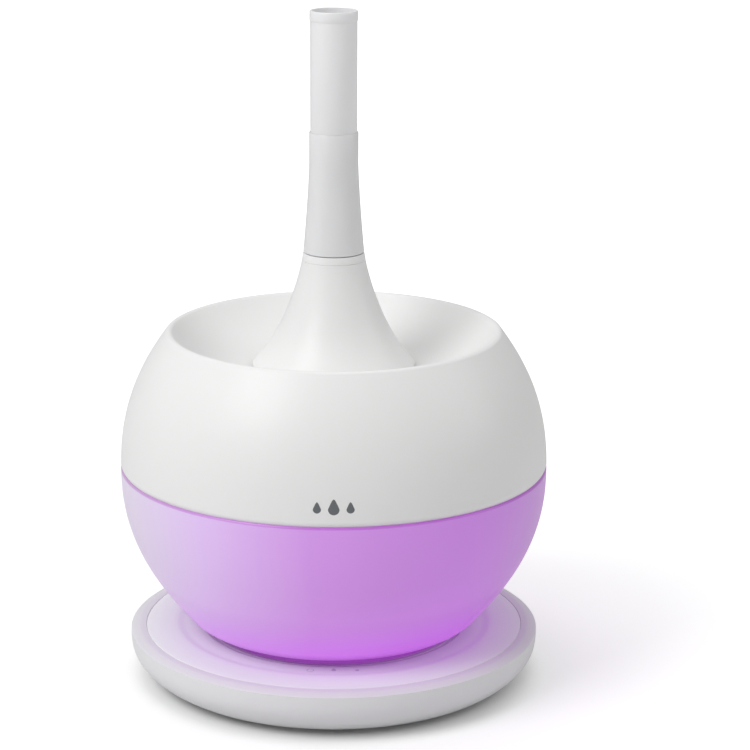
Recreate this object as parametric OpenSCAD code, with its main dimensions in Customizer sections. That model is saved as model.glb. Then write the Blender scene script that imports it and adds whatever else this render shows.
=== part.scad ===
// Cool mist humidifier: a saucer base, a lit water tank, a dished cover, a flared nozzle with a
// telescoping mist tube, and a floating atomizer inside the tank.
// The origin is at the middle of the floor contact, +Z is up and the touch keys face -Y.

/* [Body] */
// Greatest diameter, where the cover meets the tank
body_d = 300; // [260:5:380]
// Height from the base's rim to the widest line
tank_h = 116; // [90:1:160]
// Height that the cover's curve rises above the widest line
cover_h = 99; // [70:1:130]
// Fullness of the tank's curve: higher is squarer
tank_fullness = 2.22; // [2:0.01:2.6]
// Fullness of the cover's curve: higher is squarer
cover_fullness = 2.33; // [2:0.01:2.6]

/* [Base] */
// Greatest diameter of the base
base_d = 290; // [240:5:340]
// Height of the base's rim above the floor
base_h = 36.2; // [32:0.1:50]
// Height of the rubber feet
foot_h = 3; // [2:0.5:8]
// Wall of the lower shell
base_wall = 2.5; // [1.5:0.1:4]
// How far the underside's edge lies inside the widest edge
base_taper = 20; // [15:1:40]
// Rounding of the lower shell's rim
base_round = 5; // [3:0.5:8]
// Thickness of the upper plate
plate_t = 2.5; // [2:0.1:4]
// Width of the lower shell's rim around the upper plate
plate_margin = 11; // [9:0.5:20]
// Width of the upper plate between the light lens and the groove for the tank's foot
lens_margin = 17.7; // [12:0.1:24]

/* [Tank] */
// Wall of the water tank
tank_wall = 2.8; // [2:0.1:5]
// Diameter of the tank's flat underside
tank_foot_d = 171.4; // [140:0.2:190]
// Height of the tank's flat underside above the base's rim
tank_gap = 3.3; // [2:0.1:6]
// Radius of the bend between the underside and the bowl
tank_bend_r = 26; // [15:1:35]
// Thickness of the silicone seat ring
seat_t = 1.4; // [1:0.1:2.4]

/* [Cover] */
// Wall of the cover
cover_wall = 2.5; // [1.5:0.1:4]
// Diameter that the cover's curve closes to at its rim
rim_d = 233.2; // [200:0.2:250]
// Height of the seam above the widest line
seam_rise = 2.8; // [2:0.1:8]
// Rounding of the cover's rim
rim_round = 3.5; // [3:0.1:6]
// Depth of the pouring dish below the rim
dish_depth = 27.5; // [15:0.5:35]
// Width of the annular filling slot
slot_w = 6; // [5:0.5:10]
// Number of ribs across the filling slot
slot_ribs = 8; // [4:4:16]

/* [Nozzle] */
// Diameter of the nozzle's skirt
cone_foot_d = 114; // [104:1:130]
// Wall of the nozzle's top around the lower tube's spigot
cone_top_wall = 2.9; // [2.5:0.1:6]
// Height of the nozzle
cone_h = 79.5; // [60:0.5:110]
// Wall of the nozzle
cone_wall = 2.2; // [1.5:0.1:3.5]
// Outer diameter of the sleeve that plugs into the cover's collar
sleeve_d = 79.8; // [60:0.2:84]
// Gap under the skirt, where poured water runs in
skirt_gap = 3; // [2:0.5:8]

/* [Mist tube] */
// Outer diameter of the extension tube
tube_d = 31.6; // [28:0.1:34]
// Wall of the extension tube
tube_wall = 1.2; // [0.8:0.1:2]
// Length of the extension tube
tube_l = 97; // [85:1:130]
// Length of the extension tube inside the lower tube when pulled out
tube_overlap = 14; // [10:1:30]
// Wall of the lower tube
lower_wall = 1; // [0.8:0.1:2]
// Height of the lower tube above the nozzle
lower_tube_h = 84; // [84:1:120]
// Radial clearance between the two tubes
tube_clear = 0.2; // [0.1:0.05:0.5]

/* [Floating atomizer] */
// Outer diameter of the float
float_d = 152; // [140:2:160]
// Height of the float's hull
hull_h = 30; // [26:1:40]
// Wall of the float
float_wall = 2; // [1.5:0.1:3]
// Height of the float's legs
float_leg_h = 9; // [5:1:15]
// Outer diameter of the mist chimney
chimney_d = 36; // [30:1:44]
// Height of the mist chimney above the float's deck
chimney_h = 106; // [80:1:110]
// Outer diameter of the fan housing
fan_d = 39; // [34:1:42]
// Diameter of the ultrasonic disc
disc_d = 20; // [16:1:25]

/* [Hidden] */
$fn = 72;
fit = 0.3;
run_clear = 0.05;

body_r = body_d / 2;
base_r = base_d / 2;
base_foot_r = base_r - base_taper;
base_wide_z = base_h - base_round;
floor_z = foot_h + base_wall;
plate_r = base_r - plate_margin;
plate_under_z = base_h - plate_t;
ledge_w = 4;
ledge_t = 2;
lens_lip = 4.5;

waist_z = base_h + tank_h;
seam_z = waist_z + seam_rise;
tank_foot_r = tank_foot_d / 2;
tank_under_z = base_h + tank_gap;
tank_floor_z = tank_under_z + tank_wall;
bend_angle = 45;
bowl_r = tank_foot_r + tank_bend_r * sin(bend_angle);
bowl_z = tank_under_z + tank_bend_r * (1 - cos(bend_angle));
foot_ring_r = tank_foot_r + 1;
foot_ring_w = 5;
foot_ring_z = base_h - 1.2;
groove_in = foot_ring_r - foot_ring_w - 3;
groove_out = foot_ring_r + 6;
groove_z = foot_ring_z - seat_t;
groove_wall = 2;
groove_under_z = groove_z - plate_t;
lens_r = groove_in - lens_margin;

rim_r = rim_d / 2;
rim_share = 0.985;
rim_slope = 45;
slot_in_r = sleeve_d / 2 + fit + 3.8;
slot_out_r = slot_in_r + slot_w;
cone_foot_r = cone_foot_d / 2;
dish_floor_r = cone_foot_r + 5;

tube_r = tube_d / 2;
lower_in_r = tube_r + tube_clear;
lower_out_r = lower_in_r + lower_wall;
spigot_r = lower_out_r + 1.4;
cone_top_r = spigot_r + cone_top_wall;

// The point, direction and height that the cover's curve ends with, before its rounded rim.
function cover_r(t) = rim_r + (body_r - rim_r) * pow(1 - pow(t, cover_fullness), 1.025);
rim_start = [cover_r(rim_share), waist_z + cover_h * rim_share];
rim_fall = (cover_r(rim_share) - cover_r(rim_share - 0.01)) / 0.01;
rim_angle = atan2(cover_h, rim_fall);
rim_centre = rim_start + rim_round * [-sin(rim_angle), cos(rim_angle)];
rim_end = rim_centre + rim_round * [sin(180 + rim_slope), -cos(180 + rim_slope)];
rim_top_z = rim_centre[1] + rim_round;

dish_floor_z = rim_top_z - dish_depth;
cone_z = dish_floor_z + skirt_gap;
cone_top_z = cone_z + cone_h;
collar_top_z = cone_z + 5.5;
collar_low_z = cone_z - 8.5;
tube_low_z = cone_top_z + lower_tube_h - tube_overlap;
tube_top_z = tube_low_z + tube_l;

float_r = float_d / 2;
well_r = 30;
hull_z = tank_floor_z + float_leg_h;
deck_z = hull_z + hull_h;
deck_t = 2.5;
deck_top_z = deck_z + deck_t;
fan_r = fan_d / 2;
fan_x = float_r - fan_r - 1;
fan_h = 16.5;
fan_floor_z = deck_top_z + 1.5;
motor_r = 7;
motor_h = 8;
hub_z = fan_floor_z + motor_h + 1;
shaft_r = 1;
disc_r = disc_d / 2;
well_floor_z = hull_z + float_wall;

leg_count = 3;
leg_r = 5;
deck_screws = 6;
deck_screw_r = float_r - 5.5;
case_screws_r = base_foot_r - 12;
case_boss_r = 4.5;
case_boss_top_z = case_screws_r - case_boss_r > groove_out + groove_wall ? plate_under_z : groove_under_z;
feet_r = base_foot_r - 20;
rubber_r = 9;

led_board_r = lens_r - 13;
led_board_z = 12;
board_t = 1.6;
led_post_r = led_board_r - 10;
led_ring_r = led_board_r - 21;
led_plug_y = led_board_r - 8;
power_l = 60;
power_w = 34;
power_z = 8;
power_y = sqrt(pow(base_foot_r - 4, 2) - pow(power_l / 2, 2)) - power_w;
lead_z = 10.6;
lead_r = 0.8;
key_pitch = 16;
key_y = groove_out + 6.5;
touch_z = groove_under_z - 1.8;
jack_z = 19.5;
jack_turn = -16;

// ---------------------------------------------------------------- shared outlines and shapes

function unit_normal(path, i) =
    let (run = path[min(i + 1, len(path) - 1)] - path[max(i - 1, 0)])
    [-run[1], run[0]] / norm(run);
// A path moved sideways by t, to its left.
function inset(path, t) = [for (i = [0 : len(path) - 1]) path[i] + t * unit_normal(path, i)];
function flip(path) = [for (i = [len(path) - 1 : -1 : 0]) path[i]];

// A turned shell of even wall along a path.
module turned_shell(path, wall) {
    rotate_extrude() polygon(concat(path, flip(inset(path, wall))));
}

module ring(r_out, r_in, z, h) {
    translate([0, 0, z]) difference() {
        cylinder(r = r_out, h = h);
        translate([0, 0, -1]) cylinder(r = r_in, h = h + 2);
    }
}

module at_angles(count, r, start = 0) {
    for (i = [0 : count - 1]) rotate([0, 0, start + 360 * i / count]) translate([r, 0, 0]) children();
}

// A screw standing on its head: the head at the low end, the shank above it.
module screw(head_r, head_h, shank_r, shank_h) {
    difference() {
        cylinder(r = head_r, h = head_h);
        translate([0, 0, -0.01]) cylinder(r = head_r * 0.45, h = head_h * 0.6, $fn = 6);
    }
    translate([0, 0, head_h]) cylinder(r = shank_r, h = shank_h);
}

// A screw whose head is on top, with its seat at z = 0.
module hanging_screw(head_r, head_h, shank_r, shank_h) {
    translate([0, 0, head_h]) mirror([0, 0, 1]) screw(head_r, head_h, shank_r, shank_h);
}

// A straight lead between two points that share x.
module lead(a, b) {
    run = b - a;
    translate(a) rotate([-atan2(run[1], run[2]), 0, 0]) cylinder(r = lead_r, h = norm(run));
}

// ---------------------------------------------------------------- base

function base_edge(z) = base_foot_r + base_taper * sin(90 * (z - foot_h) / (base_wide_z - foot_h));
edge_steps = 12;
round_steps = 8;
ledge_z = plate_under_z - ledge_t;

base_outside = concat(
    [[0, foot_h]],
    [for (i = [0 : edge_steps]) let (z = foot_h + (base_wide_z - foot_h) * i / edge_steps) [base_edge(z), z]],
    [for (i = [1 : round_steps]) let (a = 90 * i / round_steps)
        [base_r - base_round + base_round * cos(a), base_wide_z + base_round * sin(a)]],
    [[plate_r + fit, base_h], [plate_r + fit, plate_under_z]]);
base_inside = concat(
    [[plate_r - ledge_w, plate_under_z], [plate_r - ledge_w, ledge_z]],
    [for (i = [edge_steps : -1 : 0]) let (z = floor_z + (min(ledge_z, base_wide_z) - floor_z) * i / edge_steps)
        [base_edge(z) - base_wall * 1.15, z]],
    [[0, floor_z]]);

module base_lower_shell() color("white") difference() {
    union() {
        rotate_extrude() polygon(concat(base_outside, base_inside));
        at_angles(3, led_post_r) translate([0, 0, floor_z - 0.5]) cylinder(r = 3, h = led_board_z - floor_z + 0.5);
        power_corners() translate([0, 0, floor_z - 0.5]) cylinder(r = 3, h = power_z - floor_z + 0.5);
    }
    at_angles(4, case_screws_r, 45) {
        translate([0, 0, foot_h - 1]) cylinder(r = 4, h = 2.2);
        translate([0, 0, foot_h]) cylinder(r = 1.8, h = base_wall + 1);
    }
    at_angles(4, feet_r) translate([0, 0, foot_h - 1]) cylinder(r = rubber_r + fit, h = 2);
    at_angles(3, led_post_r) translate([0, 0, floor_z + 0.5]) cylinder(r = 1.3, h = led_board_z);
    power_corners() translate([0, 0, floor_z + 0.5]) cylinder(r = 1.3, h = power_z);
    for (turn = [0, jack_turn]) rotate([0, 0, turn]) translate([0, base_edge(jack_z) - 12, jack_z])
        rotate([-90, 0, 0]) cylinder(r = jack_barrel_r + fit, h = 20);
}

// The radius at a share of the way from the groove to the upper plate's edge.
function step_r(share) = groove_out + (plate_r - groove_out) * share;
plate_top = [[lens_r, base_h], [groove_in, base_h], [groove_in, groove_z], [groove_out, groove_z],
             [groove_out, base_h - 0.4], [step_r(0.322), base_h - 0.4], [step_r(0.407), base_h + 0.1],
             [step_r(0.467), base_h + 0.8], [step_r(0.709), base_h + 0.7], [plate_r - 0.8, base_h],
             [plate_r, base_h - 0.6]];
plate_under = [[plate_r, plate_under_z], [groove_out + groove_wall, plate_under_z],
               [groove_out + groove_wall, groove_under_z], [groove_in - groove_wall, groove_under_z],
               [groove_in - groove_wall, plate_under_z], [lens_r, plate_under_z]];

module base_upper_plate() color("white") difference() {
    union() {
        rotate_extrude() polygon(concat(plate_top, plate_under));
        at_angles(4, case_screws_r, 45) translate([0, 0, floor_z])
            cylinder(r = case_boss_r, h = case_boss_top_z - floor_z + 0.5);
    }
    at_angles(4, case_screws_r, 45) translate([0, 0, floor_z - 1]) cylinder(r = 1.6, h = 17);
}

module seat_ring() color("silver") difference() {
    ring(groove_out - fit, groove_in + fit, groove_z, seat_t);
    ring(groove_out - 2.2, groove_out - 3.4, groove_z + seat_t - 0.4, 1);
}

module light_lens() color("thistle") union() {
    translate([0, 0, plate_under_z]) cylinder(r = lens_r - fit, h = plate_t);
    translate([0, 0, ledge_z]) cylinder(r = lens_r + lens_lip, h = ledge_t);
}

led_top_z = led_board_z + board_t;
module light_reflector() color("whitesmoke") rotate_extrude() polygon([
    [led_board_r - 4, led_top_z], [led_board_r - 2, led_top_z], [lens_r, ledge_z], [lens_r - 2, ledge_z]]);

module led_board() color("darkgreen") difference() {
    union() {
        translate([0, 0, led_board_z]) cylinder(r = led_board_r, h = board_t);
        for (side = [-1, 1]) translate([-4, side * led_plug_y - 4, led_board_z - 2.6]) cube([8, 8, 2.61]);
    }
    at_angles(3, led_post_r) translate([0, 0, led_board_z - 1]) cylinder(r = 1.4, h = board_t + 2);
}

module leds() color("violet") {
    at_angles(8, led_ring_r) translate([0, 0, led_top_z]) led();
    translate([0, 0, led_top_z]) led();
}
module led() {
    translate([-2.5, -2.5, 0]) cube([5, 5, 1.2]);
    translate([0, 0, 1.2]) cylinder(r = 1.9, h = 0.5);
}

module power_corners() {
    for (x = [-1, 1]) for (y = [4, power_w - 4])
        translate([x * (power_l / 2 - 4), power_y + y, 0]) children();
}

module power_board() color("darkgreen") difference() {
    translate([-power_l / 2, power_y, power_z]) cube([power_l, power_w, board_t]);
    power_corners() translate([0, 0, power_z - 1]) cylinder(r = 1.4, h = board_t + 2);
}

power_top_z = power_z + board_t;
module power_components() color("dimgray") {
    translate([-5, power_y + power_w - 6, power_top_z]) cube([10, 5, 12]);
    translate([-5, power_y + 1, power_top_z]) cube([10, 5, 4]);
    translate([-18, power_y + power_w - 10, power_top_z]) cylinder(r = 4, h = 11);
    translate([17, power_y + 14, power_top_z]) cylinder(r = 5, h = 12);
    translate([8, power_y + 21, power_top_z]) cylinder(r = 3.2, h = 9);
    translate([-5, power_y + 11, power_top_z]) cube([9, 9, 1.8]);
}

module buzzer() color("black") translate([-17, power_y + 13, power_top_z]) difference() {
    cylinder(r = 6, h = 6);
    translate([0, 0, 2]) cylinder(r = 1.2, h = 5);
}

module touch_board() color("darkgreen") union() {
    translate([-28, -key_y - 6, touch_z]) cube([56, 12, 1.2]);
    translate([8, -key_y - 3, touch_z - 1]) cube([6, 6, 1.01]);
}

module touch_pads() color("goldenrod") for (x = [-key_pitch, 0, key_pitch])
    translate([x, -key_y, touch_z + 1.2]) cylinder(r = 3.2, h = plate_under_z - touch_z - 1.2);

jack_barrel_r = 4.2;
jack_mouth_y = base_edge(jack_z) + 0.3;
jack_bore_depth = 9;
module socket(bore_r) {
    difference() {
        union() {
            translate([0, jack_mouth_y - 12.5, jack_z]) rotate([-90, 0, 0]) cylinder(r = jack_barrel_r, h = 12.5);
            translate([-5, jack_mouth_y - 23, jack_z - 4.5]) cube([10, 11, 9]);
        }
        translate([0, jack_mouth_y - jack_bore_depth, jack_z]) rotate([-90, 0, 0])
            cylinder(r = bore_r, h = jack_bore_depth + 1);
    }
}

module dc_jack() color("black") socket(2.75);

module dc_jack_pin() color("silver") translate([0, jack_mouth_y - jack_bore_depth, jack_z])
    rotate([-90, 0, 0]) cylinder(r = 1, h = jack_bore_depth - 1.5);

module atomizer_socket() color("black") rotate([0, 0, jack_turn]) socket(2);

// Leads: inlet to power board, power board to lamp board, and lamp board to touch board.
module internal_wiring() color("firebrick") for (x = [-2.2, 2.2]) {
    lead([x, power_y + power_w - 1, jack_z - 1], [x, jack_mouth_y - 23, jack_z - 1]);
    lead([x, led_plug_y + 4, lead_z], [x, power_y + 1, lead_z]);
    lead([x, -led_plug_y - 4, lead_z], [x, -key_y, lead_z]);
    translate([x, -key_y, lead_z]) sphere(r = lead_r);
    lead([x, -key_y, lead_z], [x, -key_y, touch_z]);
}

module rubber_feet() color("dimgray") at_angles(4, feet_r) difference() {
    cylinder(r = rubber_r, h = foot_h + 1);
    translate([0, 0, -0.01]) cylinder(r = rubber_r - 4, h = 0.8);
}

module case_screws() color("silver") at_angles(4, case_screws_r, 45)
    translate([0, 0, foot_h + 0.1]) screw(3.6, 1.1, 1.5, 15);

module board_screws() color("silver") {
    at_angles(3, led_post_r) translate([0, 0, led_top_z]) hanging_screw(2.4, 1.4, 1.2, 6);
    power_corners() translate([0, 0, power_top_z]) hanging_screw(2.4, 1.4, 1.2, 3.2);
}

// ---------------------------------------------------------------- tank

bowl_steps = 26;
bend_steps = 6;
function tank_r(t) = bowl_r + (body_r - bowl_r) * pow(1 - pow(t, tank_fullness), 1.045);
tank_outside = concat(
    [[tank_foot_r - 8, tank_under_z], [tank_foot_r - 2, tank_under_z]],
    [for (i = [0 : bend_steps]) let (a = bend_angle * i / bend_steps)
        [tank_foot_r + tank_bend_r * sin(a), tank_under_z + tank_bend_r * (1 - cos(a))]],
    [for (i = [1 : bowl_steps]) let (t = cos(90 * i / bowl_steps))
        [tank_r(t), waist_z - (waist_z - bowl_z) * t]],
    [[body_r, seam_z - 0.7]]);
tank_inside = concat(inset(tank_outside, tank_wall), [[body_r - tank_wall, seam_z]]);

module water_tank() color("plum") union() {
    rotate_extrude() polygon(concat([[0, tank_under_z]], tank_outside, [[body_r - 0.7, seam_z]],
                                    flip(tank_inside), [[0, tank_floor_z]]));
    ring(foot_ring_r, foot_ring_r - foot_ring_w, foot_ring_z, tank_under_z + 1 - foot_ring_z);
}

// ---------------------------------------------------------------- cover

cover_steps = 26;
dish_steps = 14;
rim_steps = 10;
cover_start = (seam_z + 1 - waist_z) / cover_h;
cover_outside = concat(
    [[body_r, seam_z], [body_r, seam_z + 1]],
    [for (i = [1 : cover_steps]) let (t = cover_start + (rim_share - cover_start) * sin(90 * i / cover_steps))
        [cover_r(t), waist_z + cover_h * t]],
    [for (i = [1 : rim_steps]) let (a = rim_angle + (180 + rim_slope - rim_angle) * i / rim_steps)
        rim_centre + rim_round * [sin(a), -cos(a)]],
    [for (i = [1 : dish_steps]) let (s = 1 - i / dish_steps)
        [dish_floor_r + (rim_end[0] - dish_floor_r) * s, dish_floor_z + (rim_end[1] - dish_floor_z) * s * s]],
    [[slot_out_r, dish_floor_z - 1.5]]);

lip_out_r = body_r - tank_wall - 2 * fit;
lip_in_r = lip_out_r - 2;
lip_h = 6;
collar_in_r = sleeve_d / 2 + fit;

module top_cover() color("white") difference() {
    union() {
        turned_shell(cover_outside, cover_wall);
        rotate_extrude() polygon([[lip_in_r, seam_z - lip_h], [lip_out_r, seam_z - lip_h], [lip_out_r, seam_z],
                                  [body_r - 1, seam_z], [body_r - 1, seam_z + 2], [lip_in_r, seam_z + 4]]);
        ring(slot_in_r, collar_in_r, collar_low_z, collar_top_z - collar_low_z);
        at_angles(slot_ribs, slot_in_r - 1, 180 / slot_ribs)
            translate([0, -1.5, dish_floor_z - 5]) cube([slot_w + 3, 3, 2.6]);
    }
    translate([-4.5, body_r - 10, seam_z - lip_h - 1]) cube([9, 20, lip_h + 7]);
}

// ---------------------------------------------------------------- nozzle

cone_steps = 22;
cone_share = 0.74;
function cone_r(s) =
    let (k = 1 - s)
    cone_top_r + (cone_foot_r - cone_top_r) * (cone_share * pow(k, 1.3) + (1 - cone_share) * pow(k, 4));
cone_outside = [for (i = [0 : cone_steps]) [cone_r(i / cone_steps), cone_z + cone_h * i / cone_steps]];

spigot_h = 12;
seal_r = 1;

module nozzle_cone() color("white") union() {
    turned_shell(cone_outside, cone_wall);
    intersection() {
        rotate_extrude() polygon(concat([[0, collar_low_z + 1], [cone_foot_r - 4, collar_low_z + 1]],
                                        [[cone_foot_r - 4, cone_z]], cone_outside, [[0, cone_top_z]]));
        union() {
            ring(sleeve_d / 2, sleeve_d / 2 - cone_wall, collar_low_z + 1.5, 26);
            ring(cone_foot_r - 2, sleeve_d / 2 - cone_wall, collar_top_z, cone_wall);
            difference() {
                ring(cone_top_r + 5, spigot_r + 0.1, cone_top_z - spigot_h, spigot_h);
                translate([0, 0, cone_top_z - spigot_h / 2 - seal_r])
                    ring(spigot_r + 0.6, spigot_r - 1, 0, 2 * seal_r);
            }
        }
    }
}

flare_h = 29;
neck_r = lower_out_r + 1.2;
neck_h = 17;
flare_steps = 10;
lower_top_z = cone_top_z + lower_tube_h;
function flare_r(s) = neck_r + (cone_top_r - 0.2 - neck_r) * pow(1 - s, 1.3);
lower_outside = concat(
    [for (i = [0 : flare_steps]) let (s = i / flare_steps) [flare_r(s), cone_top_z + flare_h * s]],
    [[neck_r, cone_top_z + flare_h + neck_h], [lower_out_r, cone_top_z + flare_h + neck_h + 3],
     [lower_out_r, lower_top_z]]);
lower_inside = concat(
    [[lower_in_r, lower_top_z], [lower_in_r, cone_top_z + flare_h + neck_h]],
    [for (i = [flare_steps : -1 : 1]) let (s = i / flare_steps) [flare_r(s) - 1.1, cone_top_z + flare_h * s]],
    [[spigot_r - 1.2, cone_top_z + 1.2], [spigot_r - 1.2, cone_top_z - spigot_h]]);

module lower_tube() color("ghostwhite", 0.6) difference() {
    rotate_extrude() polygon(concat([[spigot_r, cone_top_z - spigot_h], [spigot_r, cone_top_z]],
                                    lower_outside, lower_inside));
    translate([0, 0, cone_top_z - spigot_h / 2 - seal_r]) ring(spigot_r + 1, spigot_r - 0.6, 0, 2 * seal_r);
}

module tube_seal() color("lightgray")
    ring(spigot_r + 0.5, spigot_r - 0.5, cone_top_z - spigot_h / 2 - seal_r + 0.1, 2 * seal_r - 0.2);

rim_band_h = 7;
module extension_tube() color("ghostwhite", 0.6) rotate_extrude() polygon([
    [tube_r - tube_wall, tube_low_z], [tube_r - 0.3, tube_low_z], [tube_r, tube_low_z + 1],
    [tube_r, tube_top_z - rim_band_h], [tube_r + tube_clear + 0.5, tube_top_z - rim_band_h],
    [tube_r + tube_clear + 0.5, tube_top_z - 0.6], [tube_r + tube_clear, tube_top_z],
    [tube_r - tube_wall, tube_top_z]]);

// ---------------------------------------------------------------- floating atomizer

hull_round = 8;
hull_steps = 6;
hull_outside = concat(
    [[0, hull_z], [float_r - hull_round, hull_z]],
    [for (i = [1 : hull_steps]) let (a = 90 * i / hull_steps)
        [float_r - hull_round + hull_round * sin(a), hull_z + hull_round * (1 - cos(a))]],
    [[float_r, deck_z]]);
hull_inside = concat(
    [[float_r - float_wall, deck_z]],
    [for (i = [hull_steps : -1 : 0]) let (a = 90 * i / hull_steps)
        [float_r - hull_round + (hull_round - float_wall) * sin(a),
         hull_z + hull_round - (hull_round - float_wall) * cos(a)]],
    [[well_r + float_wall, well_floor_z], [well_r + float_wall, deck_z], [well_r, deck_z], [well_r, well_floor_z],
     [0, well_floor_z]]);

board_post_h = 8;
driver_z = well_floor_z + board_post_h;
driver_in_r = well_r + float_wall + 4;
driver_out_r = float_r - 14;
module driver_posts() {
    for (a = [120, 180, 240]) rotate([0, 0, a]) translate([(driver_in_r + driver_out_r) / 2, 0, 0]) children();
}

probe_r = 1.2;
retainer_r = disc_r + 8;
retainer_z = well_floor_z + 2;
module float_hull() color("whitesmoke") difference() {
    union() {
        rotate_extrude() polygon(concat(hull_outside, hull_inside));
        at_angles(leg_count, float_r - 16, 60) translate([0, 0, tank_floor_z + run_clear])
            cylinder(r = leg_r, h = float_leg_h + 0.5);
        driver_posts() translate([0, 0, well_floor_z - 0.5]) cylinder(r = 3, h = board_post_h + 0.5);
        at_angles(deck_screws, deck_screw_r, 30) translate([0, 0, deck_z - 16]) cylinder(r = 4, h = 14);
    }
    at_angles(deck_screws, deck_screw_r, 30) translate([0, 0, deck_z - 14]) cylinder(r = 1.5, h = 20);
    driver_posts() translate([0, 0, well_floor_z + 1]) cylinder(r = 1.3, h = board_post_h);
    at_angles(6, retainer_r + 4.5) translate([0, 0, hull_z - 1]) cylinder(r = 2, h = float_wall + 2);
    at_angles(3, retainer_r - 2.5, 30) translate([0, 0, hull_z + 0.5]) cylinder(r = 1.3, h = float_wall + 2);
    at_angles(2, retainer_r + 4.5, 90) translate([0, 0, hull_z - 1])
        cylinder(r = probe_r + run_clear, h = float_wall + 2);
    ring(float_r + 1, float_r - float_wall - 6, deck_z - seal_h, seal_h + 1);
}

seal_h = 1.2;
module deck_seal() color("lightgray")
    ring(float_r - 0.4, float_r - float_wall - 0.4, deck_z - seal_h, seal_h);

gland_x = -(float_r - 22);
module float_deck() color("white") difference() {
    rotate_extrude() polygon([[well_r, deck_z], [float_r, deck_z], [float_r, deck_top_z - 1.2],
                              [float_r - 1.2, deck_top_z], [well_r, deck_top_z]]);
    at_angles(deck_screws, deck_screw_r, 30) translate([0, 0, deck_z - 1]) cylinder(r = 1.7, h = deck_t + 2);
    translate([gland_x, 0, deck_z - 1]) cylinder(r = 4.5, h = deck_t + 2);
    at_angles(3, well_r + 3, 60) translate([0, 0, deck_z + 0.5]) cylinder(r = 1.25, h = deck_t);
}

module driver_board() color("darkgreen") difference() {
    ring(driver_out_r, driver_in_r, driver_z, board_t);
    translate([-8, -float_r, driver_z - 1]) cube([2 * float_r, 2 * float_r, board_t + 2]);
    driver_posts() translate([0, 0, driver_z - 1]) cylinder(r = 1.4, h = board_t + 2);
}

driver_mid_r = (driver_in_r + driver_out_r) / 2;
driver_top_z = driver_z + board_t;
module driver_components() color("dimgray") {
    rotate([0, 0, 150]) translate([driver_mid_r, 0, driver_top_z]) cylinder(r = 6, h = 9);
    rotate([0, 0, 205]) translate([driver_mid_r - 6, -6, driver_top_z]) cube([12, 12, 8]);
    rotate([0, 0, 225]) translate([driver_mid_r, 0, driver_top_z]) cylinder(r = 3.5, h = 10);
    rotate([0, 0, 133]) translate([driver_mid_r - 3, 0, driver_top_z]) cylinder(r = 3, h = 8);
    rotate([0, 0, 167]) translate([driver_mid_r - 4, -3, driver_top_z]) cube([7, 6, 2]);
}

module piezo_disc() color("khaki") translate([0, 0, well_floor_z]) cylinder(r = disc_r, h = 0.8);

module piezo_gasket() color("darkslategray") rotate_extrude() polygon([
    [disc_r + 0.2, well_floor_z], [disc_r + 3, well_floor_z], [disc_r + 3, retainer_z], [disc_r - 1.5, retainer_z],
    [disc_r - 1.5, well_floor_z + 0.8], [disc_r + 0.2, well_floor_z + 0.8]]);

module piezo_retainer() color("silver") difference() {
    rotate_extrude() polygon([[disc_r + 3.2, well_floor_z], [retainer_r, well_floor_z], [retainer_r, retainer_z + 1],
                              [retainer_r - 1, retainer_z + 2], [disc_r, retainer_z + 2],
                              [disc_r - 1.5, retainer_z], [disc_r + 3.2, retainer_z]]);
    at_angles(3, retainer_r - 2.5, 30) translate([0, 0, well_floor_z - 1]) cylinder(r = 1.4, h = 6);
}

module piezo_screws() color("silver") at_angles(3, retainer_r - 2.5, 30)
    translate([0, 0, retainer_z + 2]) hanging_screw(1.5, 1.2, 1.2, 4.8);

module level_probes() color("silver") at_angles(2, retainer_r + 4.5, 90)
    translate([0, 0, hull_z]) cylinder(r = probe_r, h = 12);

chimney_r = chimney_d / 2;
bell_h = 34;
bell_steps = 12;
chimney_wall = 1.8;
chimney_outside = concat(
    [[well_r + 1, deck_top_z], [well_r + 1, deck_top_z + 13]],
    [for (i = [1 : bell_steps]) let (s = i / bell_steps)
        [chimney_r + (well_r + 1 - chimney_r) * (1 + cos(180 * s)) / 2, deck_top_z + 13 + bell_h * s]],
    [[chimney_r, deck_top_z + chimney_h]]);
port_w = 11;
port_h = 8;
port_end_x = fan_x - sqrt(pow(fan_r, 2) - pow(port_w / 2 + 1, 2)) - 0.2;

module mist_chimney() color("white") difference() {
    union() {
        turned_shell(chimney_outside, chimney_wall);
        ring(well_r + 5, well_r, deck_top_z, 1.5);
        translate([well_r - 1, -port_w / 2 - 1, fan_floor_z + 1]) cube([port_end_x - well_r + 1, port_w + 2, port_h + 2]);
    }
    translate([well_r - 4, -port_w / 2, fan_floor_z + 2]) cube([12, port_w, port_h]);
    at_angles(3, well_r + 3, 60) translate([0, 0, deck_top_z - 1]) cylinder(r = 1.25, h = 4);
    fan_place() cylinder(r = fan_r + 0.2, h = fan_h);
}

module fan_place() {
    translate([fan_x, 0, deck_top_z]) children();
}

module fan_housing() color("white") difference() {
    fan_place() difference() {
        cylinder(r = fan_r, h = fan_h);
        translate([0, 0, 1.5]) cylinder(r = fan_r - 1.8, h = fan_h);
        at_angles(4, fan_r - 1, 45) translate([0, 0, fan_h - 6]) cylinder(r = 0.75, h = 8);
    }
    translate([fan_x - fan_r - 1, -port_w / 2, fan_floor_z + 2]) cube([fan_r, port_w, port_h]);
}

cap_t = 1.8;
module fan_cap() color("white") fan_place() difference() {
    translate([0, 0, fan_h]) cylinder(r = fan_r, h = cap_t);
    at_angles(12, 6) translate([0, -0.9, fan_h - 1]) cube([8.5, 1.8, cap_t + 2]);
    at_angles(4, fan_r - 1, 45) translate([0, 0, fan_h - 1]) cylinder(r = 0.8, h = cap_t + 2);
}

module fan_screws() color("silver") {
    fan_place() at_angles(4, fan_r - 1, 45) translate([0, 0, fan_h + cap_t]) hanging_screw(1.4, 0.9, 0.65, 6);
    at_angles(3, well_r + 3, 60) translate([0, 0, deck_top_z + 1.5]) hanging_screw(1.8, 1.2, 1.15, 3.2);
}

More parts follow.
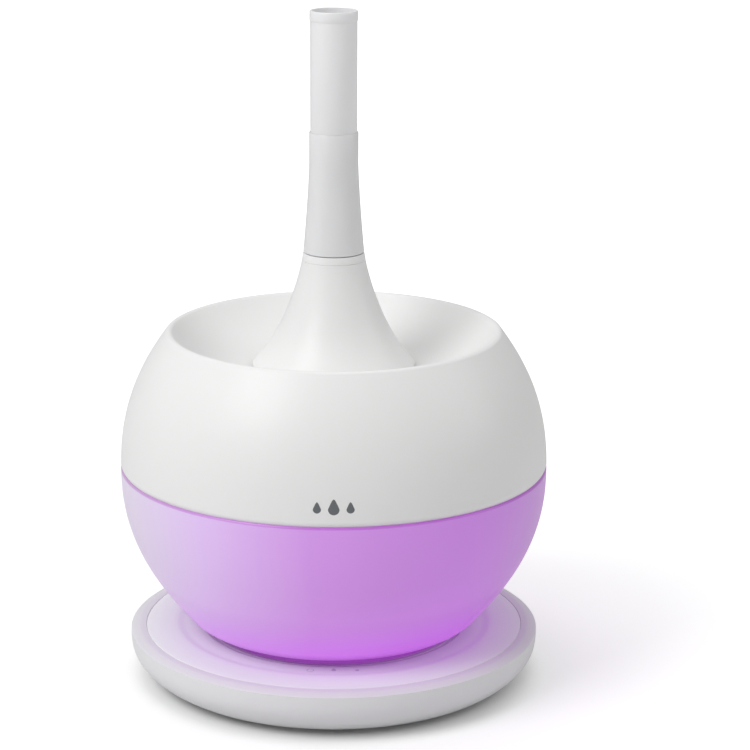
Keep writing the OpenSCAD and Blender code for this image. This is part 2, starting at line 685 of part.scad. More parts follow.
module fan_motor() color("silver") translate([0, 0, 1.5]) fan_place() difference() {
    union() {
        cylinder(r = motor_r, h = motor_h - 1);
        cylinder(r = 2.5, h = motor_h);
    }
    translate([0, 0, 2]) cylinder(r = shaft_r + run_clear, h = motor_h);
}

module fan_shaft() color("silver") translate([0, 0, 4.2]) fan_place() cylinder(r = shaft_r, h = 10.3);

blade_count = 12;
blade_low = 3;
module fan_impeller() color("dimgray") translate([fan_x, 0, 0]) difference() {
    union() {
        translate([0, 0, hub_z]) cylinder(r = fan_r - 5, h = 1.2);
        translate([0, 0, hub_z]) cylinder(r = 3, h = 3.5);
        at_angles(blade_count, motor_r + 2) translate([0, -0.4, hub_z - motor_h + blade_low])
            cube([fan_r - 5 - motor_r - 2, 0.8, motor_h - blade_low + 0.5]);
    }
    translate([0, 0, hub_z - 1]) cylinder(r = shaft_r, h = 6);
}

module float_screws() color("silver") {
    at_angles(deck_screws, deck_screw_r, 30) translate([0, 0, deck_top_z]) hanging_screw(2.8, 1.6, 1.4, 14);
    driver_posts() translate([0, 0, driver_top_z]) hanging_screw(2.4, 1.4, 1.2, 6);
}

module cable_gland() color("dimgray") translate([gland_x, 0, 0]) difference() {
    union() {
        translate([0, 0, deck_z - 3]) cylinder(r = 4.2, h = deck_t + 4);
        translate([0, 0, deck_z - 4]) cylinder(r = 7, h = 4, $fn = 6);
        translate([0, 0, deck_top_z]) cylinder(r = 7, h = 4, $fn = 6);
        translate([0, 0, deck_top_z + 4]) cylinder(r1 = 5.8, r2 = 4.2, h = 6);
    }
    translate([0, 0, deck_z - 5]) cylinder(r = 2.1, h = 22);
}

base_lower_shell();
base_upper_plate();
seat_ring();
light_lens();
light_reflector();
led_board();
leds();
power_board();
power_components();
buzzer();
touch_board();
touch_pads();
dc_jack();
dc_jack_pin();
atomizer_socket();
internal_wiring();
rubber_feet();
case_screws();
board_screws();
water_tank();
top_cover();
nozzle_cone();
lower_tube();
tube_seal();
extension_tube();
float_hull();
float_deck();
deck_seal();
driver_board();
driver_components();
piezo_disc();
piezo_gasket();
piezo_retainer();
piezo_screws();
level_probes();
mist_chimney();
fan_housing();
fan_cap();
fan_motor();
fan_shaft();
fan_impeller();
fan_screws();
float_screws();
cable_gland();
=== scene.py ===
"""A cool mist humidifier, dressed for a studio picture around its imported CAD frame."""

import logging
import math
from dataclasses import dataclass, field
from enum import Enum
from typing import ClassVar

import bpy
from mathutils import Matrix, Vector


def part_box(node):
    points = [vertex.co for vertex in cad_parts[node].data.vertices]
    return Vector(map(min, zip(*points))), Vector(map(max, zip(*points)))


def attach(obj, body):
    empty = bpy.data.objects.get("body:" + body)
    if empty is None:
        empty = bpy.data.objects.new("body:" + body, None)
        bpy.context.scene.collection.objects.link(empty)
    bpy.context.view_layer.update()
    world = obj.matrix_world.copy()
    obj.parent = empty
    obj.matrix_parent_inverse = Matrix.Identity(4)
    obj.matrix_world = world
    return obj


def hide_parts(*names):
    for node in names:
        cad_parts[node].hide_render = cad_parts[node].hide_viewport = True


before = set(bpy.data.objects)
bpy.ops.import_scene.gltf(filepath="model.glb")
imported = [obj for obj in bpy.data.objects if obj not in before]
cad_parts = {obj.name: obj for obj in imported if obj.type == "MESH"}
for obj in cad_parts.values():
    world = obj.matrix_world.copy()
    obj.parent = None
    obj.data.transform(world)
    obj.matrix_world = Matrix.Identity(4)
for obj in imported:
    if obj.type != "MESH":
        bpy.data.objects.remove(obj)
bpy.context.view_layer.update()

log = logging.getLogger("humidifier")

MM = 0.001
RING_SIDES = 160
TUBE_SIDES = 96
HOLE_SIDES = 48
CREASE = math.radians(32)
WELD = 1e-6
PRINT_THICKNESS = 0.04 * MM
SKIN = 0.05 * MM

Outline = list[tuple[float, float]]
Colour = tuple[float, float, float]
Stops = list[tuple[float, Colour]]


# ------------------------------------------------------------------ finishes


class Grain(Enum):
    """The surface texture that a mould or a tool leaves."""

    POLISHED = "polished"
    SATIN = "satin"
    PEBBLED = "pebbled"
    BRUSHED = "brushed"


class Nodes:
    """A short way to lay out one material's node tree."""

    def __init__(self, name: str) -> None:
        """Starts a material with one Principled shader.

        Args:
            name: the material's name.
        """
        self.material = bpy.data.materials.new(name)
        self.material.use_nodes = True
        self.tree = self.material.node_tree
        self.shader = self.tree.nodes["Principled BSDF"]
        self.coords = self.add("ShaderNodeTexCoord").outputs["Object"]

    def add(self, kind: str, **settings: object) -> bpy.types.Node:
        """Adds one node.

        Args:
            kind: the node's type.
            settings: its properties by name.

        Returns:
            The new node.
        """
        node = self.tree.nodes.new(kind)
        for key, value in settings.items():
            setattr(node, key, value)
        return node

    def link(self, source: bpy.types.NodeSocket, target: bpy.types.NodeSocket) -> None:
        """Joins an output to an input."""
        self.tree.links.new(source, target)

    def noise(self, scale: float, detail: float = 3.0, stretch: Vector | None = None) -> bpy.types.NodeSocket:
        """A noise that reads the piece's own coordinates.

        Args:
            scale: cells per metre.
            detail: octaves of finer noise.
            stretch: a scale for each axis, for grain with a direction.

        Returns:
            The noise's value socket.
        """
        node = self.add("ShaderNodeTexNoise")
        node.inputs["Scale"].default_value = scale
        node.inputs["Detail"].default_value = detail
        source = self.coords
        if stretch is not None:
            mapping = self.add("ShaderNodeMapping")
            mapping.inputs["Scale"].default_value = stretch
            self.link(source, mapping.inputs["Vector"])
            source = mapping.outputs["Vector"]
        self.link(source, node.inputs["Vector"])
        return node.outputs["Fac"]

    def spread(self, value: bpy.types.NodeSocket, low: float, high: float) -> bpy.types.NodeSocket:
        """Maps a noise's middle range to low and high.

        Args:
            value: the noise.
            low: the result at its low end.
            high: the result at its high end.

        Returns:
            The mapped value's socket.
        """
        node = self.add("ShaderNodeMapRange")
        node.inputs["From Min"].default_value = 0.3
        node.inputs["From Max"].default_value = 0.7
        node.inputs["To Min"].default_value = low
        node.inputs["To Max"].default_value = high
        self.link(value, node.inputs["Value"])
        return node.outputs["Result"]

    def ramp(self, value: bpy.types.NodeSocket, stops: Stops) -> bpy.types.NodeSocket:
        """Colours a value.

        Args:
            value: the socket to colour.
            stops: a place from 0 to 1 and a colour for each stop.

        Returns:
            The colour's socket.
        """
        node = self.add("ShaderNodeValToRGB")
        elements = node.color_ramp.elements
        while len(elements) < len(stops):
            elements.new(0.5)
        for element, (place, colour) in zip(elements, stops):
            element.position = place
            element.color = (*colour, 1.0)
        self.link(value, node.inputs["Fac"])
        return node.outputs["Color"]

    def bump(self, height: bpy.types.NodeSocket, depth: float, strength: float = 1.0) -> None:
        """Raises the surface by a height map.

        Args:
            height: the map's socket.
            depth: the height in metres that 1 stands for.
            strength: how much of the bump shows.
        """
        node = self.add("ShaderNodeBump")
        node.inputs["Strength"].default_value = strength
        node.inputs["Distance"].default_value = depth
        self.link(height, node.inputs["Height"])
        self.link(node.outputs["Normal"], self.shader.inputs["Normal"])


@dataclass(frozen=True)
class Finish:
    """An opaque finish whose colour, gloss and relief vary a little over the surface."""

    name: str
    colour: Colour
    roughness: float
    grain: Grain = Grain.SATIN
    metallic: float = 0.0
    coat: float = 0.0
    specular: float = 0.5
    tint: float = 0.03
    gloss_spread: float = 0.05

    def shade(self, share: float) -> Colour:
        """The colour, lighter or darker by a share of itself."""
        return tuple(min(1.0, c * (1.0 + share)) for c in self.colour)

    def make(self) -> bpy.types.Material:
        """Builds the material.

        Returns:
            The finished material.
        """
        nodes = Nodes(self.name)
        shader = nodes.shader
        shader.inputs["Metallic"].default_value = self.metallic
        shader.inputs["Coat Weight"].default_value = self.coat
        shader.inputs["Coat Roughness"].default_value = 0.12
        shader.inputs["Specular IOR Level"].default_value = self.specular
        cloud = nodes.noise(6.0, 1.5)
        nodes.link(
            nodes.ramp(cloud, [(0.2, self.shade(-self.tint)), (0.8, self.shade(self.tint))]),
            shader.inputs["Base Color"],
        )
        gloss = nodes.noise(9.0, 2.0)
        low, high = self.roughness - self.gloss_spread, self.roughness + self.gloss_spread
        nodes.link(nodes.spread(gloss, low, high), shader.inputs["Roughness"])
        self.relief(nodes)
        return nodes.material

    def relief(self, nodes: Nodes) -> None:
        """Adds the bump of the finish's grain.

        Args:
            nodes: the material in the making.
        """
        if self.grain is Grain.POLISHED:
            nodes.bump(nodes.noise(2400.0, 1.0), 0.000004, 0.5)
        elif self.grain is Grain.SATIN:
            nodes.bump(nodes.noise(1600.0, 2.0), 0.00006, 0.5)
        elif self.grain is Grain.PEBBLED:
            cells = nodes.add("ShaderNodeTexVoronoi")
            cells.inputs["Scale"].default_value = 900.0
            nodes.link(nodes.coords, cells.inputs["Vector"])
            nodes.bump(cells.outputs["Distance"], 0.0003, 0.7)
        else:
            nodes.bump(nodes.noise(120.0, 4.0, Vector((1.0, 1.0, 26.0))), 0.0001, 0.6)


@dataclass(frozen=True)
class LitShell:
    """Translucent plastic with painted light: a painted glow, brighter low down near the lamp and stronger on the
    right, and a colour with a painted highlight on the left and painted shade on the right, at the bottom and under
    the seam.
    """

    name: str
    radius: float
    low_z: float
    high_z: float
    glow: Colour = (0.76, 0.15, 1.0)
    clouding: ClassVar[dict[str, float]] = {"X": 0.02, "Z": 0.001}
    # painted glow: the emission's strength from left to right and from bottom to top
    glow_across: ClassVar[dict[float, float]] = {0.03: 0.36, 0.2: 0.74, 0.5: 1.0, 0.78: 1.05, 0.97: 0.85}
    glow_upward: ClassVar[dict[float, float]] = {0.03: 0.22, 0.1: 0.35, 0.2: 0.27, 0.34: 0.18, 0.6: 0.13, 1.0: 0.12}
    # painted highlight on the left of the colour, deepening to painted shade on the right
    painted_light_across: ClassVar[Stops] = [
        (0.02, (0.73, 0.68, 0.80)), (0.2, (0.69, 0.53, 0.82)), (0.45, (0.62, 0.32, 0.76)),
        (0.8, (0.58, 0.26, 0.75)), (1.0, (0.51, 0.29, 0.63)),
    ]
    # painted shade: the colour darker at the bottom of the bowl and in a thin line under the seam
    painted_shade_upward: ClassVar[Stops] = [
        (0.03, (0.5, 0.3, 0.55)), (0.12, (0.85, 0.68, 0.9)), (0.4, (1.0, 1.0, 1.0)),
        (0.984, (1.0, 1.0, 1.0)), (0.99, (0.75, 0.5, 0.75)),
    ]

    def make(self) -> bpy.types.Material:
        """Builds the material.

        Returns:
            The finished material.
        """
        nodes = Nodes(self.name)
        shader = nodes.shader
        shader.inputs["Coat Weight"].default_value = 0.2
        shader.inputs["Coat Roughness"].default_value = 0.3
        shader.inputs["Emission Color"].default_value = (*self.glow, 1.0)
        side = self.share(nodes, "X", -self.radius, self.radius)
        height = self.share(nodes, "Z", self.low_z, self.high_z)
        # painted glow: emission stronger on the right and brighter low down, near the lamp
        across = nodes.ramp(side, [(place, grey(level)) for place, level in self.glow_across.items()])
        upward = nodes.ramp(height, [(place, grey(level)) for place, level in self.glow_upward.items()])
        nodes.link(self.product(nodes, across, upward), shader.inputs["Emission Strength"])
        # the colour is painted light and shade: a highlight on the left and shade on the right, times shade at the
        # bottom and under the seam
        body, shadow = nodes.ramp(side, self.painted_light_across), nodes.ramp(height, self.painted_shade_upward)
        nodes.link(self.product(nodes, body, shadow), shader.inputs["Base Color"])
        nodes.link(nodes.spread(nodes.noise(20.0, 2.0), 0.34, 0.38), shader.inputs["Roughness"])
        nodes.bump(nodes.noise(1800.0, 1.0), 0.000006, 0.5)
        return nodes.material

    def product(self, nodes: Nodes, one: bpy.types.NodeSocket, other: bpy.types.NodeSocket) -> bpy.types.NodeSocket:
        """Multiplies two colours.

        Args:
            nodes: the material in the making.
            one: the first colour.
            other: the second colour.

        Returns:
            The product's socket.
        """
        node = nodes.add("ShaderNodeVectorMath", operation="MULTIPLY")
        nodes.link(one, node.inputs[0])
        nodes.link(other, node.inputs[1])
        return node.outputs["Vector"]

    def share(self, nodes: Nodes, axis: str, low: float, high: float) -> bpy.types.NodeSocket:
        """How far along an axis the surface lies, from 0 to 1, slightly clouded.

        Args:
            nodes: the material in the making.
            axis: X or Z.
            low: where 0 lies.
            high: where 1 lies.

        Returns:
            The share's socket.
        """
        split = nodes.add("ShaderNodeSeparateXYZ")
        nodes.link(nodes.coords, split.inputs["Vector"])
        span = nodes.add("ShaderNodeMapRange")
        span.inputs["From Min"].default_value = low
        span.inputs["From Max"].default_value = high
        nodes.link(split.outputs[axis], span.inputs["Value"])
        cloud = nodes.spread(nodes.noise(11.0, 1.0), -self.clouding[axis], self.clouding[axis])
        total = nodes.add("ShaderNodeMath", operation="ADD")
        nodes.link(span.outputs["Result"], total.inputs[0])
        nodes.link(cloud, total.inputs[1])
        return total.outputs["Value"]


def grey(level: float) -> Colour:
    """A grey of one level."""
    return (level, level, level)


@dataclass(frozen=True)
class Frosted:
    """Milky translucent plastic that lets some light through, with an optional painted glow."""

    name: str
    colour: Colour
    clear: float
    roughness: float = 0.32
    painted_glow: float = 0.0

    def make(self) -> bpy.types.Material:
        """Builds the material.

        Returns:
            The finished material.
        """
        nodes = Nodes(self.name)
        shader = nodes.shader
        shader.inputs["Transmission Weight"].default_value = self.clear
        shader.inputs["IOR"].default_value = 1.45
        shader.inputs["Emission Color"].default_value = (1.0, 1.0, 1.0, 1.0)
        # painted glow: a faint white emission standing for light that comes through the plastic
        shader.inputs["Emission Strength"].default_value = self.painted_glow
        shader.inputs["Coat Weight"].default_value = 0.2
        shader.inputs["Coat Roughness"].default_value = 0.15
        cloud = nodes.noise(30.0, 3.0, Vector((1.0, 1.0, 0.25)))
        deep = tuple(c * 0.95 for c in self.colour)
        nodes.link(nodes.ramp(cloud, [(0.3, deep), (0.7, self.colour)]), shader.inputs["Base Color"])
        gloss = nodes.spread(nodes.noise(90.0, 3.0), self.roughness - 0.04, self.roughness + 0.04)
        nodes.link(gloss, shader.inputs["Roughness"])
        nodes.bump(nodes.noise(900.0, 2.0), 0.00004, 0.4)
        return nodes.material


@dataclass(frozen=True)
class CircuitBoard:
    """Green solder mask with copper tracks showing through."""

    name: str = "circuit_board"

    def make(self) -> bpy.types.Material:
        """Builds the material.

        Returns:
            The finished material.
        """
        nodes = Nodes(self.name)
        shader = nodes.shader
        shader.inputs["Roughness"].default_value = 0.35
        tracks = nodes.add("ShaderNodeTexBrick")
        tracks.inputs["Scale"].default_value = 130.0
        tracks.inputs["Mortar Size"].default_value = 0.06
        tracks.inputs["Color1"].default_value = (0.012, 0.13, 0.05, 1.0)
        tracks.inputs["Color2"].default_value = (0.016, 0.16, 0.06, 1.0)
        tracks.inputs["Mortar"].default_value = (0.05, 0.30, 0.12, 1.0)
        nodes.link(nodes.coords, tracks.inputs["Vector"])
        nodes.link(tracks.outputs["Color"], shader.inputs["Base Color"])
        nodes.bump(tracks.outputs["Fac"], 0.00008, 0.6)
        return nodes.material


@dataclass(frozen=True)
class Lamp:
    """A lit package, glowing in one colour all over."""

    name: str
    colour: Colour
    strength: float

    def make(self) -> bpy.types.Material:
        """Builds the material.

        Returns:
            The finished material.
        """
        nodes = Nodes(self.name)
        shader = nodes.shader
        shader.inputs["Emission Strength"].default_value = self.strength
        cloud = nodes.noise(400.0, 2.0)
        dim = tuple(c * 0.8 for c in self.colour)
        nodes.link(nodes.ramp(cloud, [(0.3, dim), (0.7, self.colour)]), shader.inputs["Emission Color"])
        nodes.link(nodes.ramp(cloud, [(0.3, dim), (0.7, self.colour)]), shader.inputs["Base Color"])
        nodes.link(nodes.spread(nodes.noise(300.0), 0.25, 0.4), shader.inputs["Roughness"])
        return nodes.material


# ------------------------------------------------------------------ hand tools


def deselect() -> None:
    """Leaves nothing selected and no mode open."""
    if bpy.context.object is not None and bpy.context.object.mode != "OBJECT":
        bpy.ops.object.mode_set(mode="OBJECT")
    bpy.ops.object.select_all(action="DESELECT")


def take_up(piece: bpy.types.Object) -> None:
    """Makes a piece the only selected and active one.

    Args:
        piece: the piece.
    """
    deselect()
    piece.select_set(True)
    bpy.context.view_layer.objects.active = piece


def settle(piece: bpy.types.Object) -> None:
    """Applies a piece's place, so that its object sits at the origin."""
    take_up(piece)
    bpy.ops.object.transform_apply(location=True, rotation=True, scale=True)


def close_shell(piece: bpy.types.Object) -> None:
    """Merges doubles, turns every face outwards and shades the piece smooth between its creases.

    Args:
        piece: the turned, joined or thickened piece.
    """
    take_up(piece)
    bpy.ops.object.mode_set(mode="EDIT")
    bpy.ops.mesh.select_all(action="SELECT")
    bpy.ops.mesh.remove_doubles(threshold=WELD)
    bpy.ops.mesh.normals_make_consistent(inside=False)
    bpy.ops.object.mode_set(mode="OBJECT")
    bpy.ops.object.shade_smooth_by_angle(angle=CREASE)


def turn(name: str, outline: Outline, sides: int = RING_SIDES) -> bpy.types.Object:
    """Turns an outline about +Z by extruding a ring of edges from point to point.

    Args:
        name: the piece's name.
        outline: radius and height of each point in metres; a radius of 0 at an end closes a pole.
        sides: points round the ring.

    Returns:
        The turned piece, closed and shaded.
    """
    deselect()
    points = [p for p in outline if p[0] > 0]
    radius, height = points[0]
    bpy.ops.mesh.primitive_circle_add(vertices=sides, radius=radius, location=(0, 0, height))
    piece = bpy.context.object
    piece.name = name
    settle(piece)
    bpy.ops.object.mode_set(mode="EDIT")
    bpy.ops.mesh.select_all(action="SELECT")
    if outline[0][0] == 0:
        bpy.ops.mesh.edge_face_add()
        bpy.ops.mesh.poke()
        bpy.ops.mesh.select_all(action="DESELECT")
        select_ring(piece, radius, height)
    for next_radius, next_height in points[1:]:
        bpy.ops.mesh.extrude_region_move()
        grow = next_radius / radius
        bpy.ops.transform.resize(value=(grow, grow, 1.0))
        bpy.ops.transform.translate(value=(0, 0, next_height - height))
        radius, height = next_radius, next_height
    if outline[-1][0] == 0:
        bpy.ops.mesh.edge_face_add()
        bpy.ops.mesh.poke()
    bpy.ops.object.mode_set(mode="OBJECT")
    close_shell(piece)
    return piece


def select_ring(piece: bpy.types.Object, radius: float, height: float) -> None:
    """Selects a ring's edges in edit mode, by their place.

    Args:
        piece: the piece in edit mode.
        radius: the ring's radius.
        height: the ring's height.
    """
    bpy.ops.object.mode_set(mode="OBJECT")
    mesh = piece.data
    for vertex in mesh.vertices:
        flat = math.hypot(vertex.co.x, vertex.co.y)
        vertex.select = abs(flat - radius) < 1e-5 and abs(vertex.co.z - height) < 1e-5
    for edge in mesh.edges:
        edge.select = all(mesh.vertices[i].select for i in edge.vertices)
    for face in mesh.polygons:
        face.select = False
    bpy.ops.object.mode_set(mode="EDIT")


def cut_out(piece: bpy.types.Object, cutter: bpy.types.Object) -> None:
    """Cuts one solid out of another and removes the cutter.

    Args:
        piece: the solid that keeps its name.
        cutter: the solid to take away.
    """
    take_up(piece)
    cut = piece.modifiers.new("cut", "BOOLEAN")
    cut.operation = "DIFFERENCE"
    cut.solver = "EXACT"
    cut.object = cutter
    bpy.ops.object.modifier_apply(modifier=cut.name)
    bpy.data.objects.remove(cutter)
    bpy.ops.object.shade_smooth_by_angle(angle=CREASE)


def join(pieces: list[bpy.types.Object]) -> bpy.types.Object:
    """Joins pieces into the first one.

    Args:
        pieces: the pieces, of which the first keeps its name.

    Returns:
        The joined piece.
    """
    deselect()
    for piece in pieces:
        piece.select_set(True)
    bpy.context.view_layer.objects.active = pieces[0]
    bpy.ops.object.join()
    return pieces[0]


def block(name: str, low: Vector, high: Vector, bevel: float = 0.0) -> bpy.types.Object:
    """A bevelled block between two corners.

    Args:
        name: the piece's name.
        low: its lowest corner.
        high: its highest corner.
        bevel: the width of its edges' rounding.

    Returns:
        The block.
    """
    deselect()
    bpy.ops.mesh.primitive_cube_add(size=1.0, location=(low + high) / 2)
    piece = bpy.context.object
    piece.name = name
    piece.scale = high - low
    settle(piece)
    if bevel > 0:
        bpy.ops.object.mode_set(mode="EDIT")
        bpy.ops.mesh.select_all(action="SELECT")
        bpy.ops.mesh.bevel(offset=bevel, segments=3, affect="EDGES")
        bpy.ops.object.mode_set(mode="OBJECT")
        bpy.ops.object.shade_smooth_by_angle(angle=CREASE)
    return piece


def offset(path: Outline, wall: float) -> Outline:
    """A path moved sideways to its left.

    Args:
        path: the points.
        wall: how far it moves.

    Returns:
        The moved points, in the same order.
    """
    moved = []
    for i, (r, z) in enumerate(path):
        before = path[max(i - 1, 0)]
        after = path[min(i + 1, len(path) - 1)]
        run, rise = after[0] - before[0], after[1] - before[1]
        length = math.hypot(run, rise)
        moved.append((r - wall * rise / length, z + wall * run / length))
    return moved


def arc(centre: tuple[float, float], radius: float, start: float, end: float, steps: int) -> Outline:
    """Points along an arc, by angle in degrees from +r.

    Returns:
        The points from start to end.
    """
    angles = [math.radians(start + (end - start) * i / steps) for i in range(steps + 1)]
    return [(centre[0] + radius * math.cos(a), centre[1] + radius * math.sin(a)) for a in angles]


def blend_between(low: float, high: float, share: float) -> float:
    """The value a share of the way from low to high."""
    return low + (high - low) * share


# ------------------------------------------------------------------ finishes of this object

WHITE_GLOSS = Finish(
    "white_gloss", (0.81, 0.81, 0.805), 0.42, Grain.POLISHED, coat=0.05, specular=0.38, tint=0.004, gloss_spread=0.015
)
# painted shade: the base shell's white is darker and bluer than the cover's, to paint the shade on its side
WHITE_SHELL_PAINTED_SHADE = Finish(
    "white_shell_painted_shade", (0.765, 0.765, 0.775), 0.45, Grain.POLISHED, specular=0.3, tint=0.004, gloss_spread=0.015
)
# painted light: the plate's white is lighter than the cover's and tinted green, to paint more light under the tank
# and cancel the tank's purple light on it
WHITE_PLATE_PAINTED_LIGHT = Finish(
    "white_plate_painted_light", (0.885, 0.925, 0.89), 0.52, Grain.POLISHED, specular=0.15, tint=0.004, gloss_spread=0.015
)
WHITE_SATIN = Finish("white_satin", (0.78, 0.78, 0.77), 0.45, Grain.SATIN, tint=0.015)
SILICONE = Finish("silicone_grey", (0.72, 0.72, 0.73), 0.55, Grain.SATIN, tint=0.03)
RUBBER = Finish("rubber_grey", (0.055, 0.055, 0.06), 0.7, Grain.PEBBLED, tint=0.12)
BLACK_PART = Finish("component_black", (0.02, 0.02, 0.022), 0.42, Grain.PEBBLED, tint=0.2)
GOLD = Finish("gold_contact", (0.83, 0.62, 0.28), 0.25, Grain.BRUSHED, metallic=1.0)
STEEL = Finish("steel", (0.60, 0.60, 0.62), 0.3, Grain.BRUSHED, metallic=1.0)
WIRE = Finish("wire_insulation", (0.45, 0.03, 0.03), 0.4, Grain.SATIN, tint=0.08)
PIEZO = Finish("piezo_ceramic", (0.72, 0.64, 0.46), 0.35, Grain.BRUSHED, metallic=0.4)
PRINT_GREY = Finish("printed_grey", (0.13, 0.14, 0.15), 0.5, Grain.SATIN, tint=0.1)
PRINT_PALE = Finish("printed_pale", (0.60, 0.61, 0.64), 0.45, Grain.SATIN, tint=0.05)
LENS = Frosted("lens_diffuser", (0.86, 0.72, 0.95), 0.35, 0.4)
LOWER_TUBE = Frosted("tube_lower_frost", (0.80, 0.80, 0.81), 0.03)
# the upper tube carries a faint painted glow that lifts its shaded side
UPPER_TUBE = Frosted("tube_upper_frost", (0.84, 0.84, 0.85), 0.12, painted_glow=0.06)
LAMP = Lamp("led_emitter", (0.85, 0.25, 1.0), 6.0)


class Wardrobe:
    """Makes each finish once and lends it to every piece that wears it."""

    def __init__(self) -> None:
        """Starts empty."""
        self.made: dict[str, bpy.types.Material] = {}

    def get(self, finish: Finish | LitShell | Frosted | CircuitBoard | Lamp) -> bpy.types.Material:
        """The finish's material, made on first use.

        Args:
            finish: the finish to wear.

        Returns:
            Its one material.
        """
        if finish.name not in self.made:
            self.made[finish.name] = finish.make()
        return self.made[finish.name]


WARDROBE = Wardrobe()


def dress(piece: bpy.types.Object, finish: object) -> None:
    """Gives a piece one finish all over.

    Args:
        piece: the piece or CAD node.
        finish: its finish.
    """
    piece.data.materials.clear()
    piece.data.materials.append(WARDROBE.get(finish))


@dataclass
class Assembly:
    """A sub-assembly that rides on one CAD body."""

    body: str
    pieces: list[bpy.types.Object] = field(default_factory=list)

    def fit(self, piece: bpy.types.Object, slot: str, finish: object, *nodes: str) -> bpy.types.Object:
        """Finishes a new piece, parents it to its body's empty and hides the CAD nodes that it stands for.

        Args:
            piece: the modelled piece.
            slot: the record's material slot it belongs to; not used.
            finish: its finish.
            nodes: the CAD nodes that it stands for.

        Returns:
            The same piece.
        """
        dress(piece, finish)
        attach(piece, self.body)
        if nodes:
            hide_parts(*nodes)
        self.pieces.append(piece)
        log.info("%s on %s: %d faces", piece.name, self.body, len(piece.data.polygons))
        return piece

    def wear(self, finishes: dict[str, object]) -> None:
        """Dresses CAD nodes that are shown as they are.

        Args:
            finishes: the finish for each node's name.
        """
        for node, finish in finishes.items():
            dress(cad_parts[node], finish)
            log.info("%s on %s: CAD shape", node, self.body)


# ------------------------------------------------------------------ base


